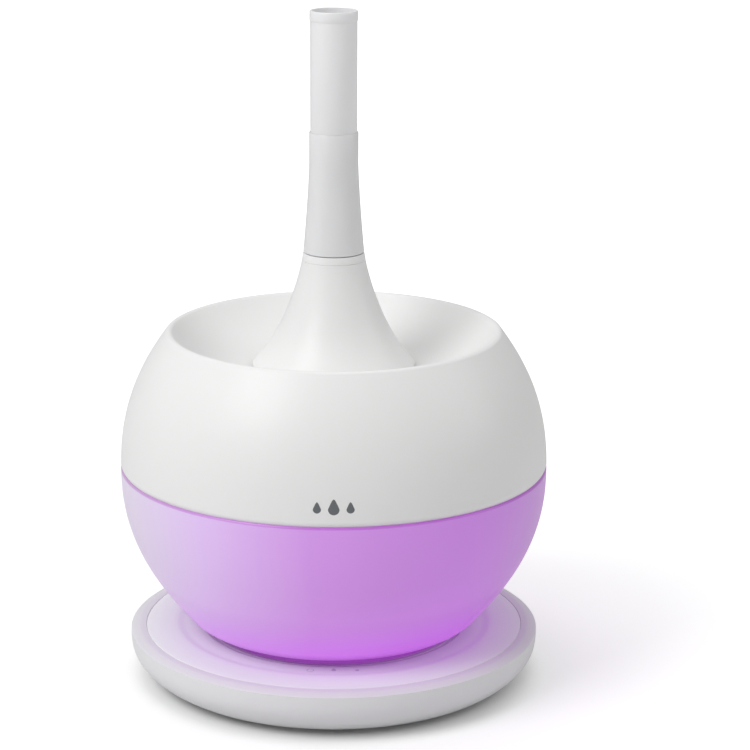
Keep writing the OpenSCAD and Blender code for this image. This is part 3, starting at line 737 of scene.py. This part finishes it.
@dataclass
class Base(Assembly):
    """The saucer that the tank stands on, with its lamp, keys and sockets."""

    body: str = "base"
    taper: float = 20 * MM
    fullness: float = 2.6
    rounding: float = 5 * MM
    wall: float = 2.5 * MM
    plate_thickness: float = 2.5 * MM
    gap: float = 0.3 * MM
    parting: float = 0.12 * MM
    ledge: float = 4 * MM
    groove_width: float = 13.9 * MM
    lens_radius: float = 61 * MM
    foot_inset: float = 20 * MM
    well_inset: float = 12 * MM
    hole_radius: float = 4.5 * MM

    def __post_init__(self) -> None:
        """Reads the places that follow the frame."""
        low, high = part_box("base_lower_shell")
        self.radius, self.foot_z, self.rim_z = high.x - SKIN, low.z, high.z
        self.plate_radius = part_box("base_upper_plate")[1].x
        seat_low, seat_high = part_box("seat_ring")
        self.groove_radius = seat_high.x + self.gap
        self.groove_z = seat_low.z

    def edge(self, z: float) -> float:
        """The lower shell's radius at a height.

        Args:
            z: the height.

        Returns:
            The radius of the outer face there.
        """
        wide_z = self.rim_z - self.rounding
        share = (z - self.foot_z) / (wide_z - self.foot_z)
        return self.radius - self.taper * max(0.0, 1 - share) ** self.fullness

    def rim(self) -> Outline:
        """The edge over the side's curve: a crisp crease, a gentle slope and a rounded top.

        Returns:
            The rim's points, from the crease inwards.
        """
        crease_z = self.rim_z - 2.3 * MM
        out = self.radius
        slope = [(0.0, 0.0), (0.4, 0.3), (2.0, 0.95), (3.6, 1.5), (5.0, 1.9), (6.2, 2.2), (7.4, 2.3)]
        return [(out - inward * MM, crease_z + up * MM) for inward, up in slope]

    def shell(self) -> bpy.types.Object:
        """The lower shell with its sockets' holes, foot recesses and screw wells.

        Returns:
            The closed shell.
        """
        wide_z = self.rim_z - self.rounding
        steps = 22
        outside = [(0.0, self.foot_z), (60 * MM, self.foot_z)]
        foot = self.edge(self.foot_z)
        outside += [(foot - 0.5 * MM, self.foot_z), (foot - 0.1 * MM, self.foot_z + 0.2 * MM)]
        for i in range(1, steps + 1):
            z = blend_between(self.foot_z, wide_z, i / steps)
            outside.append((self.edge(z), z))
        outside += self.rim()
        lip = self.plate_radius + self.parting
        floor_z = self.foot_z + self.wall
        outside += [(lip + 0.2 * MM, self.rim_z), (lip, self.rim_z - 0.2 * MM)]
        ledge_z = self.rim_z - self.plate_thickness
        inside = [(lip, ledge_z), (lip - self.ledge, ledge_z), (lip - self.ledge, ledge_z - 2 * MM)]
        for i in range(10, -1, -1):
            z = blend_between(floor_z, ledge_z - 2.6 * MM, i / 10)
            inside.append((self.edge(z) - self.wall * 1.15, z))
        inside.append((0.0, floor_z))
        piece = turn("base_shell", outside + inside)
        cut_out(piece, self.cutters())
        return piece

    def cutters(self) -> bpy.types.Object:
        """The solids of the sockets' holes, foot recesses and screw wells.

        Returns:
            All the cutters as one piece.
        """
        tools = []
        for node in ("dc_jack", "atomizer_socket"):
            low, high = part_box(node)
            middle = (low + high) / 2
            heading = math.atan2(high.x + low.x, high.y + low.y) if node != "dc_jack" else 0.0
            reach = self.edge(middle.z)
            place = (math.sin(heading) * reach, math.cos(heading) * reach, middle.z)
            deselect()
            bpy.ops.mesh.primitive_cylinder_add(
                vertices=HOLE_SIDES, radius=self.hole_radius, depth=16 * MM,
                location=place, rotation=(math.pi / 2, 0, -heading),
            )
            tools.append(bpy.context.object)
            settle(tools[-1])
        feet = self.radius - self.taper - self.foot_inset
        wells = self.radius - self.taper - self.well_inset
        for i in range(4):
            quarter = math.pi / 2 * i
            diagonal = quarter + math.pi / 4
            tools.append(self.pit(feet, quarter, 9.3 * MM, 1 * MM))
            tools.append(self.pit(wells, diagonal, 4 * MM, 1.2 * MM))
        return join(tools)

    def pit(self, reach: float, heading: float, radius: float, depth: float) -> bpy.types.Object:
        """A cutter for a round pit in the shell's underside.

        Args:
            reach: its distance from the middle.
            heading: its direction in radians from +X.
            radius: its radius.
            depth: its depth.

        Returns:
            The cutter.
        """
        deselect()
        place = (reach * math.cos(heading), reach * math.sin(heading), self.foot_z)
        bpy.ops.mesh.primitive_cylinder_add(vertices=HOLE_SIDES, radius=radius, depth=2 * depth, location=place)
        tool = bpy.context.object
        settle(tool)
        return tool

    def plate(self) -> bpy.types.Object:
        """The upper plate with its raised step and the groove for the tank's foot.

        Returns:
            The closed plate.
        """
        top, r = self.rim_z, self.plate_radius
        groove_out, groove_in = self.groove_radius, self.groove_radius - self.groove_width
        under = top - self.plate_thickness
        outline = [
            (self.lens_radius, top - 0.3 * MM), (self.lens_radius + 0.3 * MM, top),
            (groove_in - 0.6 * MM, top), (groove_in, top - 0.6 * MM), (groove_in, self.groove_z),
            (groove_out, self.groove_z), (groove_out, top - 1.2 * MM), (groove_out + 0.8 * MM, top - 0.4 * MM),
            (r - 29 * MM, top - 0.4 * MM), (r - 27.5 * MM, top - 0.35 * MM), (r - 26 * MM, top - 0.15 * MM),
            (r - 24.5 * MM, top + 0.15 * MM), (r - 23 * MM, top + 0.5 * MM), (r - 21.5 * MM, top + 0.7 * MM),
            (r - 19 * MM, top + 0.78 * MM), (r - 12 * MM, top + 0.68 * MM), (r - 4 * MM, top + 0.3 * MM),
            (r - 0.6 * MM, top + 0.02 * MM), (r, top - 0.5 * MM), (r, under), (groove_out + 2 * MM, under),
            (groove_out + 2 * MM, self.groove_z - 2.4 * MM), (groove_in - 2 * MM, self.groove_z - 2.4 * MM),
            (groove_in - 2 * MM, under), (self.lens_radius, under), (self.lens_radius, top - 0.3 * MM),
        ]
        return turn("base_plate", outline)

    def seat(self) -> bpy.types.Object:
        """The soft ring in the groove, with its drip channel.

        Returns:
            The closed ring.
        """
        low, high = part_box("seat_ring")
        out, within = high.x, self.groove_radius - self.groove_width + self.gap
        channel = 2.0 * MM
        outline = [
            (within, low.z), (within, high.z - 0.2 * MM), (within + 0.2 * MM, high.z),
            (out - channel - 1.2 * MM, high.z), (out - channel - 0.9 * MM, high.z - 0.4 * MM),
            (out - channel, high.z - 0.4 * MM), (out - channel + 0.3 * MM, high.z),
            (out - 0.2 * MM, high.z), (out, high.z - 0.2 * MM), (out, low.z), (within, low.z),
        ]
        return turn("seat_gasket", outline)

    def symbols(self) -> list[bpy.types.Object]:
        """Generic symbols printed over the three touch keys: a ring, a drop and a sun.

        Returns:
            One thin print for each key.
        """
        low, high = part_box("touch_pads")
        keys_y = (low.y + high.y) / 2
        pitch = (high.x - low.x) / 2 - 3.2 * MM
        top = self.rim_z - 0.4 * MM + 0.06 * MM
        ring = flat_ring("key_ring", 2.6 * MM, 2.1 * MM, Vector((-pitch, keys_y, top)))
        drop = flat_drop("key_drop", 5.0 * MM, Vector((0, keys_y, top)))
        dot = flat_ring("key_sun", 1.4 * MM, 0.0, Vector((pitch, keys_y, top)))
        return [thicken(symbol, PRINT_THICKNESS) for symbol in (ring, drop, dot)]

    def build(self) -> None:
        """Models, dresses and places the base's pieces."""
        self.fit(self.shell(), "white_gloss", WHITE_SHELL_PAINTED_SHADE, "base_lower_shell")
        self.fit(self.plate(), "white_gloss", WHITE_PLATE_PAINTED_LIGHT, "base_upper_plate")
        self.fit(self.seat(), "silicone_grey", SILICONE, "seat_ring")
        for symbol in self.symbols():
            self.fit(symbol, "white_gloss", PRINT_PALE)
        board = CircuitBoard()
        self.wear({
            "light_lens": LENS, "light_reflector": WHITE_SATIN, "led_board": board, "leds": LAMP,
            "power_board": board, "power_components": BLACK_PART, "buzzer": BLACK_PART,
            "touch_board": board, "touch_pads": GOLD, "dc_jack": BLACK_PART, "dc_jack_pin": STEEL,
            "atomizer_socket": BLACK_PART, "internal_wiring": WIRE, "rubber_feet": RUBBER,
            "case_screws": STEEL, "board_screws": STEEL,
        })


def flat_ring(name: str, outer: float, inner: float, place: Vector) -> bpy.types.Object:
    """A thin printed ring or dot, lying flat.

    Args:
        name: the piece's name.
        outer: its outer radius.
        inner: its inner radius, or 0 for a dot.
        place: its middle.

    Returns:
        The print as a sheet.
    """
    deselect()
    bpy.ops.mesh.primitive_circle_add(vertices=HOLE_SIDES, radius=outer, fill_type="NGON", location=place)
    piece = bpy.context.object
    piece.name = name
    bpy.ops.object.mode_set(mode="EDIT")
    bpy.ops.mesh.select_all(action="SELECT")
    if inner > 0:
        bpy.ops.mesh.inset(thickness=outer - inner)
        bpy.ops.mesh.delete(type="FACE")
    bpy.ops.object.mode_set(mode="OBJECT")
    settle(piece)
    return piece


def flat_drop(name: str, height: float, place: Vector) -> bpy.types.Object:
    """A thin printed water drop, lying flat with its tip towards +Y.

    Args:
        name: the piece's name.
        height: from the round end to the tip.
        place: the middle of its round end.

    Returns:
        The print as a sheet with rings of faces, fine enough to follow a curved wall.
    """
    deselect()
    radius = height * 0.36
    bpy.ops.mesh.primitive_circle_add(vertices=64, radius=radius, fill_type="NGON", location=place)
    piece = bpy.context.object
    piece.name = name
    settle(piece)
    bpy.ops.object.mode_set(mode="EDIT")
    bpy.ops.mesh.select_all(action="SELECT")
    for _ in range(4):
        bpy.ops.mesh.inset(thickness=radius * 0.2)
    bpy.ops.mesh.poke()
    bpy.ops.object.mode_set(mode="OBJECT")
    tip = height - radius
    for vertex in piece.data.vertices:
        along = (vertex.co.y - place.y) / radius
        if along > 0:
            sharp = along ** 2.2
            vertex.co.y = place.y + radius * along + (tip - radius) * sharp
            vertex.co.x = place.x + (vertex.co.x - place.x) * (1 - 0.35 * along)
    return piece


def thicken(piece: bpy.types.Object, wall: float) -> bpy.types.Object:
    """Gives a sheet of print its thickness, applied.

    Args:
        piece: the sheet.
        wall: its thickness once solid.

    Returns:
        The same piece.
    """
    take_up(piece)
    solid = piece.modifiers.new("thickness", "SOLIDIFY")
    solid.thickness = wall
    solid.offset = 0.0
    bpy.ops.object.modifier_apply(modifier=solid.name)
    close_shell(piece)
    return piece


# ------------------------------------------------------------------ tank


@dataclass
class Tank(Assembly):
    """The translucent bowl that holds the water."""

    body: str = "tank"
    wall: float = 2.8 * MM
    foot_radius: float = 85.7 * MM
    bend: float = 26 * MM
    fullness: float = 2.22
    foot_height: float = 4.5 * MM
    seam_rise: float = 2.8 * MM

    def __post_init__(self) -> None:
        """Reads the places that follow the frame."""
        low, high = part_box("water_tank")
        self.radius, self.seam_z, self.foot_z = high.x - SKIN, high.z, low.z
        self.under_z = self.foot_z + self.foot_height
        self.waist_z = self.seam_z - self.seam_rise

    def outside(self) -> Outline:
        """The bowl's outer curve, from its flat underside to below the seam.

        Returns:
            The curve's points, from the middle outwards and up.
        """
        slant = math.radians(45)
        bowl_r = self.foot_radius + self.bend * math.sin(slant)
        bowl_z = self.under_z + self.bend * (1 - math.cos(slant))
        path = [(self.foot_radius - 8 * MM, self.under_z)]
        for i in range(9):
            a = slant * i / 8
            path.append((self.foot_radius + self.bend * math.sin(a), self.under_z + self.bend * (1 - math.cos(a))))
        steps = 40
        for i in range(1, steps + 1):
            t = math.cos(math.pi / 2 * i / steps)
            r = bowl_r + (self.radius - bowl_r) * (1 - t ** self.fullness) ** 1.045
            path.append((r, self.waist_z - (self.waist_z - bowl_z) * t))
        return path

    def bowl(self) -> bpy.types.Object:
        """The bowl with its seam edge and foot ring.

        Returns:
            The bowl with its foot joined on.
        """
        outer = self.outside()
        inner = offset(outer, self.wall)
        rim = [
            (self.radius, self.seam_z - 1.3 * MM), (self.radius - 0.35 * MM, self.seam_z - 0.5 * MM),
            (self.radius - 1.0 * MM, self.seam_z), (self.radius - self.wall + 0.4 * MM, self.seam_z),
            (self.radius - self.wall, self.seam_z - 0.4 * MM),
        ]
        floor_z = self.under_z + self.wall
        outline = [(0.0, self.under_z), *outer, *rim, *reversed(inner), (0.0, floor_z)]
        shell = turn("tank_bowl", outline)
        out = self.foot_radius + 1 * MM
        foot = turn("tank_foot", [
            (out, self.under_z + 1 * MM), (out, self.foot_z + 0.6 * MM), (out - 0.6 * MM, self.foot_z),
            (out - 4.4 * MM, self.foot_z), (out - 5 * MM, self.foot_z + 0.6 * MM),
            (out - 5 * MM, self.under_z + 1 * MM), (out, self.under_z + 1 * MM),
        ])
        return join([shell, foot])

    def build(self) -> None:
        """Models, dresses and places the bowl."""
        glow = LitShell("tank_translucent", self.radius, self.foot_z, self.seam_z)
        self.fit(self.bowl(), "tank_translucent", glow, "water_tank")


# ------------------------------------------------------------------ cover


@dataclass
class Cover(Assembly):
    """The dished cover with its filling slot and the nozzle's collar."""

    body: str = "cover"
    wall: float = 2.5 * MM
    curve_height: float = 99 * MM
    rim_radius: float = 116.6 * MM
    fullness: float = 2.33
    rounding: float = 3.5 * MM
    rim_share: float = 0.985
    dish_depth: float = 27.5 * MM
    seam_rise: float = 2.8 * MM
    ribs: int = 8
    slot_in: float = 44 * MM
    slot_out: float = 50 * MM
    collar_in: float = 40.2 * MM

    def __post_init__(self) -> None:
        """Reads the places that follow the frame."""
        low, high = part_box("top_cover")
        self.radius = high.x - SKIN
        self.seam_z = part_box("water_tank")[1].z
        self.waist_z = self.seam_z - self.seam_rise
        self.lip_z = low.z
        self.skirt_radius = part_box("nozzle_cone")[1].x

    def reach(self, t: float) -> float:
        """The cover's radius at a share of its curve's height."""
        return self.rim_radius + (self.radius - self.rim_radius) * (1 - t ** self.fullness) ** 1.025

    def outside(self) -> Outline:
        """The top surface, from the seam over the rim and down the dish to the slot.

        Returns:
            The surface's points, from the seam to the slot.
        """
        start = (self.seam_z + 4 * MM - self.waist_z) / self.curve_height
        path = [
            (self.radius - 1.3 * MM, self.seam_z), (self.radius - 0.75 * MM, self.seam_z + 0.7 * MM),
            (self.radius - 0.25 * MM, self.seam_z + 1.9 * MM), (self.radius - 0.04 * MM, self.seam_z + 2.6 * MM),
        ]
        steps = 44
        for i in range(steps + 1):
            t = start + (self.rim_share - start) * math.sin(math.pi / 2 * i / steps)
            path.append((self.reach(t), self.waist_z + self.curve_height * t))
        fall = (self.reach(self.rim_share) - self.reach(self.rim_share - 0.01)) / 0.01
        heading = math.degrees(math.atan2(self.curve_height, fall))
        tilt = math.radians(heading)
        centre = (path[-1][0] - self.rounding * math.sin(tilt), path[-1][1] + self.rounding * math.cos(tilt))
        path += arc(centre, self.rounding, heading - 90, 135, 12)[1:]
        edge_r, edge_z = path[-1]
        floor_r, floor_z = self.skirt_radius + 5 * MM, centre[1] + self.rounding - self.dish_depth
        for i in range(1, 23):
            s = 1 - i / 22
            path.append((blend_between(floor_r, edge_r, s), blend_between(floor_z, edge_z, s * s)))
        self.floor_z = floor_z
        path.append((self.slot_out + 1 * MM, floor_z - 1.3 * MM))
        path.append((self.slot_out, floor_z - 1.9 * MM))
        return path

    def shell(self) -> bpy.types.Object:
        """The cover with its lip, collar and ribs, notched at the rear for the atomizer's lead.

        Returns:
            The cover as one piece.
        """
        outer = self.outside()
        inner = offset(outer, self.wall)
        inner[0] = (outer[0][0] - 1.2 * MM, self.seam_z)
        inner[1] = (inner[1][0], self.seam_z + 0.4 * MM)
        skin = turn("cover_shell", [*outer, *reversed(inner), outer[0]])
        lip_out = self.radius - 3.4 * MM
        lip = turn("cover_lip", [
            (lip_out - 2 * MM, self.lip_z), (lip_out - 0.4 * MM, self.lip_z), (lip_out, self.lip_z + 0.8 * MM),
            (lip_out, self.seam_z), (lip_out + 1.6 * MM, self.seam_z), (lip_out + 1.6 * MM, self.seam_z + 2 * MM),
            (lip_out - 2 * MM, self.seam_z + 4 * MM), (lip_out - 2 * MM, self.lip_z),
        ])
        collar_low = self.floor_z + 3 * MM - 8.5 * MM
        collar_top = self.floor_z + 3 * MM + 5.5 * MM
        collar = turn("cover_collar", [
            (self.collar_in, collar_low), (self.slot_in, collar_low), (self.slot_in, collar_top - 0.6 * MM),
            (self.slot_in - 0.6 * MM, collar_top), (self.collar_in + 0.6 * MM, collar_top),
            (self.collar_in, collar_top - 0.6 * MM), (self.collar_in, collar_low),
        ])
        for ring in (skin, lip):
            cut_out(ring, self.notch())
        return join([skin, lip, collar, *self.rib_set()])

    def notch(self) -> bpy.types.Object:
        """The cutter of the lead's way out, over the rear of the seam.

        Returns:
            The cutter.
        """
        low = Vector((-4.5 * MM, self.radius - 10 * MM, self.lip_z - 2 * MM))
        high = Vector((4.5 * MM, self.radius + 10 * MM, self.seam_z + 6 * MM))
        return block("notch", low, high, 1.4 * MM)

    def rib_set(self) -> list[bpy.types.Object]:
        """The radial ribs that carry the collar across the slot.

        Returns:
            The ribs, evenly spread round the collar.
        """
        low_z = self.floor_z - 5 * MM
        rib = block(
            "rib",
            Vector((self.slot_in - 1 * MM, -1.5 * MM, low_z)),
            Vector((self.slot_out + 2 * MM, 1.5 * MM, low_z + 2.6 * MM)),
            0.4 * MM,
        )
        ribs = [rib]
        for i in range(1, self.ribs):
            take_up(rib)
            bpy.ops.object.duplicate()
            ribs.append(bpy.context.object)
        for i, copy in enumerate(ribs):
            take_up(copy)
            angle = 2 * math.pi * (i + 0.5) / self.ribs
            copy.rotation_euler.z = angle
            settle(copy)
        return ribs

    def mark(self) -> list[bpy.types.Object]:
        """A plain printed row of three water drops on the lower front.

        Returns:
            The three drops, wrapped on the cover.
        """
        drops = []
        for i, height in enumerate((7.5 * MM, 10.5 * MM, 7.5 * MM)):
            drop = flat_drop(f"drop_{i + 1}", height, Vector(((i - 1) * 11 * MM, 0, 0)))
            take_up(drop)
            drop.rotation_euler.x = math.pi / 2
            drop.location = (0, -self.radius - 2 * MM, self.seam_z + 12.5 * MM)
            settle(drop)
            wrap = drop.modifiers.new("wrap", "SHRINKWRAP")
            wrap.target = self.pieces[0]
            wrap.wrap_method = "PROJECT"
            wrap.use_project_y = True
            wrap.use_positive_direction = True
            wrap.offset = 0.05 * MM
            bpy.ops.object.modifier_apply(modifier=wrap.name)
            drops.append(thicken(drop, PRINT_THICKNESS))
        return drops

    def build(self) -> None:
        """Models, dresses and places the cover and its printed mark."""
        self.fit(self.shell(), "white_gloss", WHITE_GLOSS, "top_cover")
        for drop in self.mark():
            self.fit(drop, "white_gloss", PRINT_GREY)


# ------------------------------------------------------------------ nozzle and tubes


@dataclass
class Nozzle(Assembly):
    """The flared white nozzle, the lower tube in its top and the seal between them."""

    body: str = "nozzle"
    wall: float = 2.2 * MM
    cone_share: float = 0.74
    plug: float = 7 * MM
    top_band: float = 5.5 * MM
    sleeve_radius: float = 39.9 * MM
    spigot: float = 12 * MM
    flare: float = 62 * MM
    foot_gap: float = 0.5 * MM
    tube_wall: float = 0.75 * MM

    def __post_init__(self) -> None:
        """Reads the places that follow the frame."""
        low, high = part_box("nozzle_cone")
        self.foot_radius, self.top_z = high.x, high.z
        self.skirt_z = low.z + self.plug
        self.sleeve_z = low.z
        tube_low, tube_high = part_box("lower_tube")
        self.tube_top_z = tube_high.z
        self.flare_radius = tube_high.x
        self.top_radius = self.flare_radius + 0.2 * MM
        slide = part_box("extension_tube")[1].x
        self.tube_in = slide - 0.3 * MM
        self.spigot_radius = slide + 1.9 * MM

    def reach(self, s: float) -> float:
        """The nozzle's radius at a share of its height.

        Args:
            s: the share of the height, 0 at the skirt and 1 at the top.

        Returns:
            The radius of the outer face there.
        """
        k = 1 - s
        swell = self.cone_share * k ** 1.3 + (1 - self.cone_share) * k ** 4
        return self.top_radius + (self.foot_radius - self.top_radius) * swell

    def cone(self) -> bpy.types.Object:
        """The nozzle with its rounded skirt, top band, sleeve and web.

        Returns:
            The nozzle as one piece.
        """
        steps = 40
        height = self.top_z - self.skirt_z
        band = self.top_band / height
        path = [(self.reach(0) - 1.2 * MM, self.skirt_z), (self.reach(0) - 0.35 * MM, self.skirt_z + 0.25 * MM)]
        for i in range(1, steps + 1):
            s = (1 - band) * i / steps
            path.append((self.reach(s), self.skirt_z + height * s))
        band_z, band_r = self.top_z - self.top_band, self.reach(1 - band)
        path += [
            (band_r - 0.35 * MM, band_z + 0.25 * MM), (band_r - 0.02 * MM, band_z + 0.6 * MM),
            (self.reach(1) + 0.12 * MM, self.top_z - 1 * MM), (self.reach(1) - 0.3 * MM, self.top_z),
        ]
        bore = self.spigot_radius + 0.1 * MM
        path += [(bore, self.top_z), (bore, self.top_z - self.spigot)]
        inner = [(self.reach(s / 20) - self.wall * 1.25, self.skirt_z + height * s / 20) for s in range(16, -1, -1)]
        inner = [(r, z) for r, z in inner if z < self.top_z - self.spigot - 2 * MM]
        skin = turn("nozzle_skin", [*path, *inner, path[0]])
        sleeve_top = self.skirt_z + 18 * MM
        out, within = self.sleeve_radius, self.sleeve_radius - self.wall
        web_z = self.skirt_z + 5.5 * MM
        sleeve = turn("nozzle_sleeve", [
            (within, self.sleeve_z), (out - 0.5 * MM, self.sleeve_z), (out, self.sleeve_z + 1 * MM), (out, web_z),
            (self.reach(0.09) - 1.5 * MM, web_z), (self.reach(0.09) - 1.5 * MM, web_z + self.wall),
            (out, web_z + self.wall), (out, sleeve_top), (within, sleeve_top), (within, self.sleeve_z),
        ])
        return join([skin, sleeve])

    def lower_tube(self) -> bpy.types.Object:
        """The lower tube, flared at its foot, with its spigot in the nozzle.

        Returns:
            The closed tube.
        """
        out, top = self.tube_in + self.tube_wall, self.tube_top_z
        foot_z = self.top_z + self.foot_gap
        outer = []
        for i in range(31):
            s = i / 30
            outer.append((out + (self.flare_radius - out) * (1 - s) ** 1.35, foot_z + 0.3 * MM + self.flare * s))
        spigot_r, spigot_z = self.spigot_radius, self.top_z - self.spigot
        path = [(spigot_r, spigot_z), (spigot_r, foot_z), (self.flare_radius - 0.4 * MM, foot_z), *outer]
        path += [
            (out, top - 0.4 * MM), (out - 0.25 * MM, top),
            (self.tube_in + 0.15 * MM, top), (self.tube_in, top - 0.3 * MM),
            (self.tube_in, foot_z + 0.7 * self.flare),
        ]
        path += [(r - 1.1 * MM, z) for r, z in reversed(outer) if foot_z + 1.5 * MM < z < foot_z + 0.65 * self.flare]
        path += [(spigot_r - 1.2 * MM, foot_z + 0.4 * MM), (spigot_r - 1.2 * MM, spigot_z)]
        return turn("mist_tube_lower", [*path, path[0]], TUBE_SIDES)

    def build(self) -> None:
        """Models, dresses and places the nozzle's pieces."""
        self.fit(self.cone(), "white_gloss", WHITE_GLOSS, "nozzle_cone")
        self.fit(self.lower_tube(), "tube_translucent", LOWER_TUBE, "lower_tube")
        self.wear({"tube_seal": SILICONE})


@dataclass
class Extension(Assembly):
    """The upper mist tube, which slides into the lower one."""

    body: str = "extension"
    wall: float = 1.5 * MM
    band: float = 7 * MM
    band_step: float = 0.4 * MM

    def build(self) -> None:
        """Models, dresses and places the tube with its thicker rim."""
        low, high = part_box("extension_tube")
        rim = high.x
        out = rim - self.band_step
        within = out - self.wall
        band_z = high.z - self.band
        path = [
            (within, low.z + 0.2 * MM), (within + 0.3 * MM, low.z), (out - 0.4 * MM, low.z), (out, low.z + 0.8 * MM),
            (out, band_z), (rim - 0.25 * MM, band_z), (rim, band_z + 0.4 * MM), (rim, high.z - 0.6 * MM),
            (rim - 0.2 * MM, high.z - 0.15 * MM), (rim - 0.5 * MM, high.z), (within + 0.4 * MM, high.z),
            (within, high.z - 0.4 * MM), (within, low.z + 0.2 * MM),
        ]
        tube = turn("mist_tube_upper", path, TUBE_SIDES)
        self.fit(tube, "tube_translucent", UPPER_TUBE, "extension_tube")


# ------------------------------------------------------------------ floating atomizer


@dataclass
class Atomizer(Assembly):
    """The float with the ultrasonic disc, its driver, the chimney and the blower."""

    body: str = "atomizer"

    def build(self) -> None:
        """Dresses the float's CAD pieces."""
        board = CircuitBoard()
        self.wear({
            "float_hull": WHITE_SATIN, "float_deck": WHITE_SATIN, "deck_seal": SILICONE,
            "driver_board": board, "driver_components": BLACK_PART, "piezo_disc": PIEZO,
            "piezo_gasket": SILICONE, "piezo_retainer": STEEL, "piezo_screws": STEEL, "level_probes": STEEL,
            "mist_chimney": WHITE_SATIN, "fan_housing": WHITE_SATIN, "fan_cap": WHITE_SATIN,
            "fan_motor": STEEL, "fan_screws": STEEL, "float_screws": STEEL, "cable_gland": BLACK_PART,
        })


@dataclass
class Blower(Assembly):
    """The blower's impeller on its shaft."""

    body: str = "fan"

    def build(self) -> None:
        """Dresses the turning pieces."""
        self.wear({"fan_shaft": STEEL, "fan_impeller": BLACK_PART})


# ------------------------------------------------------------------ studio


@dataclass
class Studio:
    """A pale floor with painted light, soft light and the camera."""

    camera_place: tuple[float, float, float] = (0.0, -1.7982, 0.70727)
    camera_shift: float = 0.055
    camera_pitch: float = 15.229
    lens: float = 127.68
    sky: float = 0.46
    floor_grey: float = 0.78
    painted_light_reach: float = 1.6
    # painted light on the floor: emission strength by distance, as a share of the reach, none under the base
    painted_light_stops: ClassVar[dict[float, float]] = {0.078: 0.0, 0.092: 0.31, 0.2: 0.42, 1.0: 0.9}

    def camera(self) -> None:
        """Places the camera and makes it the scene's."""
        data = bpy.data.cameras.new("studio_camera")
        data.lens = self.lens
        data.sensor_width = 36.0
        data.shift_x = self.camera_shift
        camera = bpy.data.objects.new("studio_camera", data)
        camera.location = self.camera_place
        camera.rotation_euler = (math.radians(90 - self.camera_pitch), 0, 0)
        bpy.context.scene.collection.objects.link(camera)
        bpy.context.scene.camera = camera

    def floor(self) -> None:
        """Lays a wide pale floor with painted light: an emission seen only by the camera, none under the base and
        growing with distance, so the floor turns white far off and stays darker round the base.
        """
        deselect()
        bpy.ops.mesh.primitive_plane_add(size=40.0)
        floor = bpy.context.object
        floor.name = "studio_floor"
        nodes = Nodes("studio_floor")
        shader = nodes.shader
        shader.inputs["Base Color"].default_value = (*[self.floor_grey] * 3, 1.0)
        shader.inputs["Roughness"].default_value = 0.6
        shader.inputs["Specular IOR Level"].default_value = 0.2
        shader.inputs["Emission Color"].default_value = (1.0, 1.0, 1.0, 1.0)
        away = nodes.add("ShaderNodeVectorMath", operation="LENGTH")
        nodes.link(nodes.coords, away.inputs[0])
        reach = nodes.add("ShaderNodeMapRange")
        reach.inputs["From Max"].default_value = self.painted_light_reach
        nodes.link(away.outputs["Value"], reach.inputs["Value"])
        painted_light = nodes.ramp(reach.outputs["Result"], [(place, grey(level)) for place, level in self.painted_light_stops.items()])
        # the painted light shows only to the camera, so it lights nothing else
        seen = nodes.add("ShaderNodeLightPath").outputs["Is Camera Ray"]
        shown = nodes.add("ShaderNodeMath", operation="MULTIPLY")
        nodes.link(seen, shown.inputs[0])
        nodes.link(painted_light, shown.inputs[1])
        nodes.link(shown.outputs["Value"], shader.inputs["Emission Strength"])
        floor.data.materials.append(nodes.material)

    def softbox(self, name: str, place: Vector, size: float, power: float) -> None:
        """Hangs a square soft light that faces the object.

        Args:
            name: the light's name.
            place: where it hangs.
            size: its side in metres.
            power: its power in watts.
        """
        data = bpy.data.lights.new(name, "AREA")
        data.shape = "SQUARE"
        data.size = size
        data.energy = power
        light = bpy.data.objects.new(name, data)
        light.location = place
        target = Vector((0, 0, 0.18))
        light.rotation_euler = (target - place).to_track_quat("-Z", "Y").to_euler()
        bpy.context.scene.collection.objects.link(light)

    def sky_light(self) -> None:
        """Fills the room with even white light."""
        world = bpy.data.worlds.new("studio_sky")
        world.use_nodes = True
        background = world.node_tree.nodes["Background"]
        background.inputs["Color"].default_value = (1.0, 1.0, 1.0, 1.0)
        background.inputs["Strength"].default_value = self.sky
        bpy.context.scene.world = world

    def build(self) -> None:
        """Sets up the whole studio."""
        self.camera()
        self.floor()
        self.sky_light()
        self.softbox("key_left", Vector((-1.7, -1.35, 2.1)), 1.4, 40.0)
        self.softbox("top_light", Vector((-0.2, 0.3, 2.4)), 1.6, 13.0)
        self.softbox("right_fill", Vector((2.2, -0.2, 1.2)), 1.2, 7.0)
        bpy.context.scene.view_settings.view_transform = "Standard"


def main() -> None:
    """Builds the studio and each sub-assembly in order."""
    logging.basicConfig(level=logging.INFO, format="%(message)s")
    Studio().build()
    for assembly in (Base(), Tank(), Cover(), Nozzle(), Extension(), Atomizer(), Blower()):
        assembly.build()


if __name__ == "__main__":
    main()
